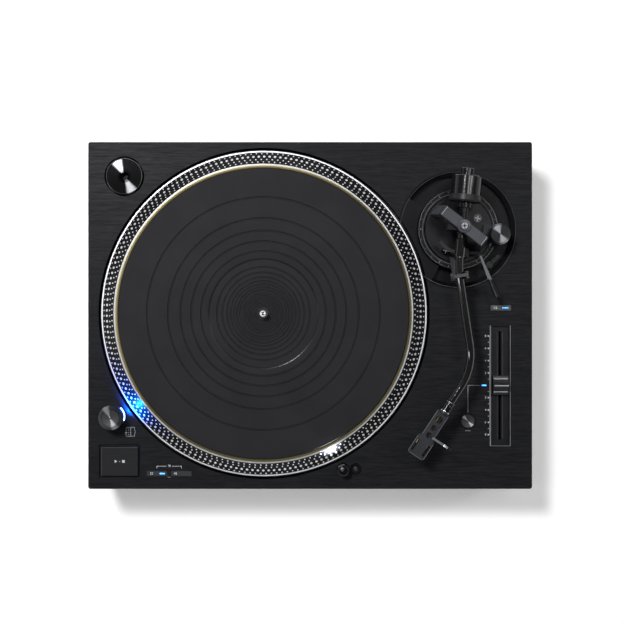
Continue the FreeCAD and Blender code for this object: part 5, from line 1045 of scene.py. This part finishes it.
class TURNTABLE_OT_arm_base(TurntableStep):
    """The tonearm's base, its height ring with ticks, and the platform with its screws."""

    bl_idname = "turntable.arm_base"
    bl_label = "Arm base"

    def make(self, size, colour):
        coat(painted("arm_base_paint", (0.0046, 0.0046, 0.0062), 2000.0, 0.00002, 0.34, 0.08), "arm_base")
        coat(painted("height_ring_anodised", (0.0058, 0.0058, 0.0070), 2000.0, 0.00001, 0.32, 0.12),
             "height_ring")
        coat(painted("platform_anodised", (0.0050, 0.0050, 0.0062), 2000.0, 0.00001, 0.3, 0.14),
             "arm_platform")
        coat(painted("lock_lever_paint", (0.008, 0.008, 0.0095), 2000.0, 0.00001, 0.3, 0.2),
             "height_lock_lever")
        coat(screw_metal("arm_screw_metal"), "arm_screws")
        glint = polished("screw_cross_glint", (0.20, 0.203, 0.21), 0.3)
        for number, (x, y) in enumerate(platform_screws, 1):
            crossed(f"platform_screw_cross_{number}", (arm_pivot.x + x, arm_pivot.y + y),
                    platform_level + 0.0014, 0.0058, 0.0008, 80, "arm_mount", glint)
        # Painted shade: a black cross on the chrome of the pivot screw stands for its dark recess.
        crossed("pivot_screw_cross", arm_pivot, top_of("arm_screws") - 0.0001, 0.0046, 0.0012, 20,
                "arm_mount", painted("screw_recess_painted_shade", (0.01, 0.01, 0.011)))
        radius, top = radius_of("arm_base"), top_of("arm_base")
        ringed("arm_base_rim", middle("arm_base"), [
            (radius - 0.0002, top - 0.0001), (radius - 0.0005, top + 0.0002),
            (radius - 0.0009, top + 0.00015), (radius - 0.0011, top - 0.0001)], "chassis",
            painted("arm_base_rim_satin", (0.020, 0.0205, 0.022), 2400.0, 0.000005, 0.3, 0.4), 160)
        ring, level = radius_of("height_ring"), top_of("height_ring")
        ticks = []
        for number in range(24):
            long = number % 4 == 0
            reach = 0.0022 if long else 0.0010
            x, y = around(arm_pivot, ring - 0.0019 - reach / 2, number * 15)
            ticks.append((x, y, reach, 0.0004 if long else 0.0003, math.radians(number * 15)))
        printed("height_ring_ticks", ticks, level, "height_ring",
                ink("ring_tick_ink", colour, 0.4))
        ringed("height_ring_line", arm_pivot, [
            (ring - 0.0006, level - 0.0002), (ring - 0.0008, level + 0.00012),
            (ring - 0.0011, level + 0.00012), (ring - 0.0013, level - 0.0002)], "height_ring",
            polished("ring_line_polish", (0.10, 0.103, 0.11), 0.3), 128)
        ringed("height_ring_inner_line", arm_pivot, [
            (ring - 0.0046, level - 0.0001), (ring - 0.0047, level + 0.00006),
            (ring - 0.0049, level + 0.00006), (ring - 0.0050, level - 0.0001)], "height_ring",
            ink("ring_inner_ink", colour, 0.25), 128)


class TURNTABLE_OT_gimbal(TurntableStep):
    """The gimbal: its bridge, its ring and the lines on the bridge's bevels."""

    bl_idname = "turntable.gimbal"
    bl_label = "Gimbal"

    def make(self, size, colour):
        coat(painted("bridge_satin", (0.037, 0.040, 0.048), 2400.0, 0.00001, 0.3, 0.22), "gimbal_bridge")
        coat(painted("gimbal_ring_satin", (0.006, 0.006, 0.0075), 2400.0, 0.00001, 0.3, 0.1),
             "gimbal_ring")
        boss_top = top_of("gimbal_bridge")
        top = boss_top - 0.0016
        turn = math.radians(bridge_turn)
        along = Vector((math.cos(turn), math.sin(turn)))
        edges = [
            (arm_pivot.x + along.x * reach, arm_pivot.y + along.y * reach, 0.0005, 0.0092, turn)
            for reach in (-bridge_half + 0.0012, bridge_half - 0.0012)]
        printed("bridge_bevel_lines", edges, top - 0.00002, "arm_mount",
                polished("bridge_bevel_polish", (0.22, 0.225, 0.235), 0.36))
        ringed("pivot_screw_ring", arm_pivot, [
            (0.0052, boss_top), (0.0050, boss_top + 0.0013), (0.0036, boss_top + 0.0014),
            (0.0032, boss_top + 0.0009), (0.0032, boss_top)], "arm_mount",
            painted("pivot_ring_satin", (0.035, 0.04, 0.05), 2400.0, 0.00001, 0.25, 0.6, 0.3), 48)


class TURNTABLE_OT_weights(TurntableStep):
    """The counterweight with its bush and its dial, and the rear shaft."""

    bl_idname = "turntable.weights"
    bl_label = "Counterweight"

    def make(self, size, colour):
        coat(polished("weight_black", colour.arm, 0.13, 0.0, 0.0, 0.36), "counterweight")
        coat(painted("dial_satin", (0.014, 0.0145, 0.016), 2400.0, 0.00001, 0.36, 0.2), "weight_dial")
        coat(polished("rear_shaft_black", colour.arm, 0.12, 0.0, 0.0, 0.22), "arm_rear_shaft")
        coat(spun("weight_bush_bronze", (0.45, 0.33, 0.18), middle("weight_bush")), "weight_bush")


def tube(name, route, radius, body, material):
    """A soft wire on a smooth route, round in section and closed at both ends."""
    fresh()
    bpy.ops.curve.primitive_nurbs_path_add(location=(0, 0, 0))
    obj = bpy.context.object
    obj.name = name
    spline = obj.data.splines[0]
    for point, place in zip(spline.points, route):
        point.co = (*place, 1.0)
    spline.order_u = 4
    spline.use_endpoint_u = True
    obj.data.bevel_depth = radius
    obj.data.bevel_resolution = 3
    obj.data.resolution_u = 8
    obj.data.use_fill_caps = True
    return finished(as_mesh(obj, name), body, material)


def band(name, at, direction, radius, width, body, material):
    """A flat metal band round the arm."""
    thin = 0.00035
    turn = Vector(direction).to_track_quat("Z", "Y").to_euler()
    fresh()
    bpy.ops.mesh.primitive_torus_add(
        location=at, rotation=turn, major_radius=radius, minor_radius=thin, major_segments=48,
        minor_segments=8)
    obj = started(name)
    obj.scale = (1, 1, width / (2 * thin))
    return finished(obj, body, material)


class TURNTABLE_OT_arm_tube(TurntableStep):
    """The S-shaped arm tube, its collar and the bands round it."""

    bl_idname = "turntable.arm_tube"
    bl_label = "Arm tube"

    def make(self, size, colour):
        coat(polished("arm_tube_black", shade(colour.arm, 0.6), 0.07, 0.0, 0.0, 0.85), "arm_tube")
        coat(polished("collar_black_chrome", (0.05, 0.05, 0.055), 0.16), "locking_collar")
        along = Vector((math.cos(shell_turn), math.sin(shell_turn), 0))
        collar = middle("locking_collar")
        # The two bands are one chrome in two tones: the bright one is painted highlight, the dim one
        # painted shade.
        for number, (step, tone) in enumerate(((-0.0052, 0.20), (0.0049, 0.62)), 1):
            chrome = polished(f"collar_band_chrome_{number}", (tone, tone, tone * 1.03), 0.14)
            band(f"collar_band_{number}", collar + along * step, along, collar_radius - 0.00015, 0.0012,
                 "locking_collar", chrome)


def lift_metal(name):
    """Bright metal at the root of the finger lift, with painted shade darkening it towards its bent tip.
    """
    low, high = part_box("finger_lift")
    finish = Finish(name, (low.x, low.y, 0), Metallic=1.0)
    x = finish.parts()[0]
    reach = high.x - low.x
    fine = finish.cloud(900.0, 2.0)
    bright = finish.blend(fine, (0.20, 0.205, 0.22), (0.27, 0.275, 0.29))
    # Painted shade: a much darker copy of the metal over the bent tip.
    dark = finish.blend(fine, (0.022, 0.0225, 0.025), (0.035, 0.036, 0.039))
    finish.give("Base Color", finish.blend(finish.eased(x, reach * 0.52, reach * 0.78), bright, dark))
    finish.gloss(fine, 0.3, 0.7, 0.32, 0.40)
    finish.bump(fine, 0.000005, 0.3)
    return finish.material


class TURNTABLE_OT_headshell(TurntableStep):
    """The headshell with its finger lift and the four coloured leads under it."""

    bl_idname = "turntable.headshell"
    bl_label = "Headshell"

    def make(self, size, colour):
        coat(painted("headshell_satin", (0.024, 0.025, 0.029), 2400.0, 0.00001, 0.36, 0.2), "headshell")
        coat(lift_metal("finger_lift_polish"), "finger_lift")
        along = Vector((math.cos(shell_turn), math.sin(shell_turn)))
        across = Vector((-along.y, along.x))
        top = shell_level
        edges = []
        for start, end, side in ((0.002, 0.029, 0.0061), (0.0335, 0.0508, 0.0088)):
            for sign in (-1, 1):
                at = shell_root + along * (start + end) / 2 + across * side * sign
                edges.append((at.x, at.y, end - start, 0.0004, shell_turn))
        at = shell_root + along * 0.0517
        edges.append((at.x, at.y, 0.0004, 0.0150, shell_turn))
        printed("headshell_edges", edges, top - 0.00002, "headshell",
                painted("headshell_edge_satin", (0.13, 0.135, 0.145), 2400.0, 0.000005, 0.35))
        brass = polished("lead_clip_gilt", (0.40, 0.30, 0.12), 0.3)
        dyes = ((0.16, 0.12, 0.04), (0.15, 0.012, 0.025), (0.010, 0.022, 0.016), (0.008, 0.007, 0.016))
        names = ("gold", "red", "green", "black")
        sways = (
            (-0.0024, -0.0002, -0.0028, -0.0040, -0.0062),
            (-0.0008, -0.0026, -0.0003, -0.0016, -0.0020),
            (0.0008, 0.0020, 0.0018, 0.0022, 0.0020),
            (0.0024, 0.0028, 0.0026, -0.0002, 0.0050),
        )
        for number, (dye, name, sway) in enumerate(zip(dyes, names, sways)):
            route = []
            for step, off in zip((0.002, 0.0094, 0.0185, 0.0276, 0.0385), sway):
                at = shell_root + along * step + across * off
                route.append((at.x, at.y, top - 0.0031 - 0.0013 * (number % 2)))
            for place, end in enumerate((route[0], route[-1])):
                fresh()
                bpy.ops.mesh.primitive_cylinder_add(
                    vertices=16, radius=size.lead_radius * 1.35, depth=0.0036, location=end,
                    rotation=(math.pi / 2, 0, shell_turn + math.pi / 2))
                clip = started(f"lead_clip_{name}_{place}")
                pick_faces(clip, lambda at, normal: abs(normal.z) > 0.9)
                bpy.ops.mesh.inset(thickness=size.lead_radius * 0.3)
                finished(clip, "headshell", brass)
            tube(f"lead_{name}", route, size.lead_radius, "headshell",
                 rubbery(f"lead_{name}_sleeve", dye, 2500.0, 0.5, 0.2))


class TURNTABLE_OT_anti_skate(TurntableStep):
    """The anti-skate housing and its spun knob with a ring of marks."""

    bl_idname = "turntable.anti_skate"
    bl_label = "Anti-skate"

    def make(self, size, colour):
        knob = middle("anti_skate_knob")
        coat(painted("anti_skate_satin", (0.008, 0.008, 0.0095), 2000.0, 0.00001, 0.32, 0.18),
             "anti_skate_housing")
        coat(spun("anti_skate_spun", (0.15, 0.152, 0.162), knob, 0.86, 0.2, roughness=0.40),
             "anti_skate_knob")
        top = top_of("anti_skate_knob")
        ticks = []
        for number in range(15):
            angle = 250 + number * 12
            x, y = around(knob, 0.0084, angle)
            ticks.append((x, y, 0.0011 if number % 2 else 0.0017, 0.00035, math.radians(angle)))
        printed("anti_skate_marks", ticks, top - 0.00002, "anti_skate_knob",
                painted("anti_skate_ink", (0.02, 0.02, 0.02)))


class TURNTABLE_OT_cueing(TurntableStep):
    """The cue lever and the bar that lifts the arm."""

    bl_idname = "turntable.cueing"
    bl_label = "Cueing"

    def make(self, size, colour):
        coat(lever_metal("cue_lever_metal"), "cue_lever")
        coat(rubbery("lift_bar_rubber", (0.014, 0.014, 0.015)), "lift_bar")


class TURNTABLE_OT_arm_rest(TurntableStep):
    """The arm rest and its clamp."""

    bl_idname = "turntable.arm_rest"
    bl_label = "Arm rest"

    def make(self, size, colour):
        coat(painted("arm_rest_satin", (0.016, 0.016, 0.018), 1800.0, 0.00002, 0.3, 0.5), "arm_rest")
        coat(painted("arm_clamp_satin", (0.018, 0.018, 0.020), 1800.0, 0.00002, 0.3, 0.5), "arm_clamp")


class TURNTABLE_OT_rear(TurntableStep):
    """The rear: terminal panel, phono jacks, ground post and mains inlet."""

    bl_idname = "turntable.rear"
    bl_label = "Rear fittings"

    def make(self, size, colour):
        coat(painted("terminal_paint", (0.018, 0.018, 0.019), 1600.0, 0.00002, 0.4), "terminal_panel")
        coat(polished("jack_gold_plate", (0.80, 0.56, 0.20), 0.2), "phono_jacks")
        coat(polished("ground_nickel", (0.60, 0.59, 0.56), 0.24), "ground_terminal")
        coat(painted("inlet_moulding", (0.012, 0.012, 0.012), 1500.0, 0.00003, 0.42), "mains_inlet")


class TURNTABLE_OT_stage(TurntableStep):
    """The white floor, the soft lights, the two small lamps of the turntable and the camera above it."""

    bl_idname = "turntable.stage"
    bl_label = "Stage"

    def make(self, size, colour):
        floor = white_floor()
        lights = [
            soft_light("key_light", (-0.66, 0.80, 2.25), (0.0, 0.0, 0.09), 0.4, 0.4, 50.0),
            soft_light("right_strip", (1.25, 0.35, 1.5), (0.0, 0.0, 0.09), 0.12, 1.1, 5.0),
            soft_light("left_strip", (-1.25, -0.1, 1.3), (0.0, 0.0, 0.09), 0.12, 1.1, 3.0),
            soft_light("rear_right_panel", (0.52, 0.44, 2.2), (0.15, 0.1, 0.09), 0.5, 0.4, 5.0),
            soft_light("front_panel", (0.1, -1.8, 1.2), (0.0, 0.0, 0.09), 1.2, 0.5, 5.0),
        ]
        strobe_from = Vector((tower_middle.x + 0.0134, tower_middle.y + 0.0036, deck_top + 0.0085))
        strobe_to = Vector((tower_middle.x + 0.026, tower_middle.y + 0.0165, deck_top + 0.004))
        lights.append(
            lamp_light("strobe_glow", strobe_from, strobe_to, (0.0, 0.10, 1.0), 0.8, 160, 0.0016))
        lamp = middle("stylus_lamp")
        lamp_top = top_of("stylus_lamp")
        lamp_from = Vector((lamp.x - 0.0090, lamp.y + 0.0138, lamp_top + 0.0022))
        lamp_to = Vector((lamp.x - 0.0150, lamp.y + 0.0262, deck_top + 0.014))
        lights.append(
            lamp_light("stylus_glow", lamp_from, lamp_to, (0.88, 0.92, 1.0), 0.34, 120, 0.0025))
        camera_above()
        world_light()
        bpy.context.scene.view_settings.view_transform = "Standard"


def white_floor():
    """A white floor that keeps the turntable's shadow."""
    fresh()
    bpy.ops.mesh.primitive_plane_add(size=12, location=(0, 0, 0))
    floor = bpy.context.object
    floor.name = "floor"
    finish = Finish("floor_white", Roughness=0.9, Specular_IOR_Level=0.1)
    cloud = finish.cloud(3.0, 2.0)
    finish.give("Base Color", finish.blend(cloud, (0.80, 0.80, 0.80), (0.82, 0.82, 0.82)))
    glow = finish.node("Emission", None, {"Color": (1.0, 1.0, 1.0), "Strength": finish.seen() * 0.30})
    both = finish.node("AddShader", None, {0: finish.wire(finish.surface), 1: finish.wire(glow)})
    finish.join(finish.wire(both), finish.output.inputs["Surface"])
    floor.data.materials.append(finish.material)
    return floor


def aimed(obj, target):
    """Turns a light to face a place."""
    direction = Vector(target) - obj.location
    obj.rotation_euler = direction.to_track_quat("-Z", "Y").to_euler()
    return obj


def soft_light(name, place, target, width, depth, watts):
    """A large soft light."""
    fresh()
    bpy.ops.object.light_add(type="AREA", location=place)
    light = bpy.context.object
    light.name = name
    light.data.shape = "RECTANGLE"
    light.data.size = width
    light.data.size_y = depth
    light.data.energy = watts
    return aimed(light, target)


def lamp_light(name, place, target, colour, watts, spread, radius):
    """A small lamp of the turntable itself."""
    fresh()
    bpy.ops.object.light_add(type="SPOT", location=place)
    light = bpy.context.object
    light.name = name
    light.data.color = colour
    light.data.energy = watts
    light.data.spot_size = math.radians(spread)
    light.data.spot_blend = 0.6
    light.data.shadow_soft_size = radius
    return aimed(light, target)


def camera_above():
    """The camera straight above, 1.2 metres over the deck."""
    fresh()
    right, rearward, height = 0.00187, 0.00357, 1.2
    bpy.ops.object.camera_add(location=(right, rearward, deck_top + height), rotation=(0, 0, 0))
    camera = bpy.context.object
    camera.name = "camera_above"
    camera.data.sensor_width = 36.0
    camera.data.lens = 67.87
    camera.data.clip_end = 50
    bpy.context.scene.camera = camera


def world_light():
    """An even pale room: white near the floor and dimmer overhead."""
    world = bpy.data.worlds.new("pale_room")
    bpy.context.scene.world = world
    room = Nodes(world)
    height = room.node("SeparateXYZ", None, {0: room.wire(room.node("TexCoord"), "Generated")})
    ramp = room.node("MapRange", None, {0: room.wire(height, 2), 1: 0.05, 2: 0.4, 3: 1.0, 4: 0.1})
    level = room.node("MapRange", None, {0: room.seen(), 3: 0.2, 4: 1.0})
    sky = room.node("Background", None, {
        "Color": (1.0, 1.0, 1.0), "Strength": room.wire(level) * room.wire(ramp)})
    room.node("OutputWorld", None, {"Surface": room.wire(sky)})


steps = (
    TURNTABLE_OT_deck,
    TURNTABLE_OT_feet,
    TURNTABLE_OT_motor,
    TURNTABLE_OT_platter,
    TURNTABLE_OT_mat,
    TURNTABLE_OT_adaptor,
    TURNTABLE_OT_strobe,
    TURNTABLE_OT_start_stop,
    TURNTABLE_OT_speed_keys,
    TURNTABLE_OT_stylus_lamp,
    TURNTABLE_OT_pitch,
    TURNTABLE_OT_arm_base,
    TURNTABLE_OT_gimbal,
    TURNTABLE_OT_weights,
    TURNTABLE_OT_arm_tube,
    TURNTABLE_OT_headshell,
    TURNTABLE_OT_anti_skate,
    TURNTABLE_OT_cueing,
    TURNTABLE_OT_arm_rest,
    TURNTABLE_OT_rear,
    TURNTABLE_OT_stage,
)


class TURNTABLE_PT_panel(bpy.types.Panel):
    """The turntable's steps in the sidebar of the 3D view."""

    bl_idname = "TURNTABLE_PT_panel"
    bl_label = "Turntable"
    bl_space_type = "VIEW_3D"
    bl_region_type = "UI"
    bl_category = "Turntable"

    def draw(self, context):
        for group in (context.scene.turntable_sizes, context.scene.turntable_colours):
            for name in group.__annotations__:
                self.layout.prop(group, name)
        for step in steps:
            self.layout.operator(step.bl_idname)


classes = (TurntableSizes, TurntableColours, *steps, TURNTABLE_PT_panel)


def register():
    for one in classes:
        bpy.utils.register_class(one)
    bpy.types.Scene.turntable_sizes = PointerProperty(type=TurntableSizes)
    bpy.types.Scene.turntable_colours = PointerProperty(type=TurntableColours)


def unregister():
    del bpy.types.Scene.turntable_colours
    del bpy.types.Scene.turntable_sizes
    for one in reversed(classes):
        bpy.utils.unregister_class(one)


def main():
    register()
    for step in steps:
        name = step.bl_idname.split(".")[1]
        if getattr(bpy.ops.turntable, name)() != {"FINISHED"}:
            raise RuntimeError(step.bl_label + " didn't finish")


if __name__ == "__main__":
    main()
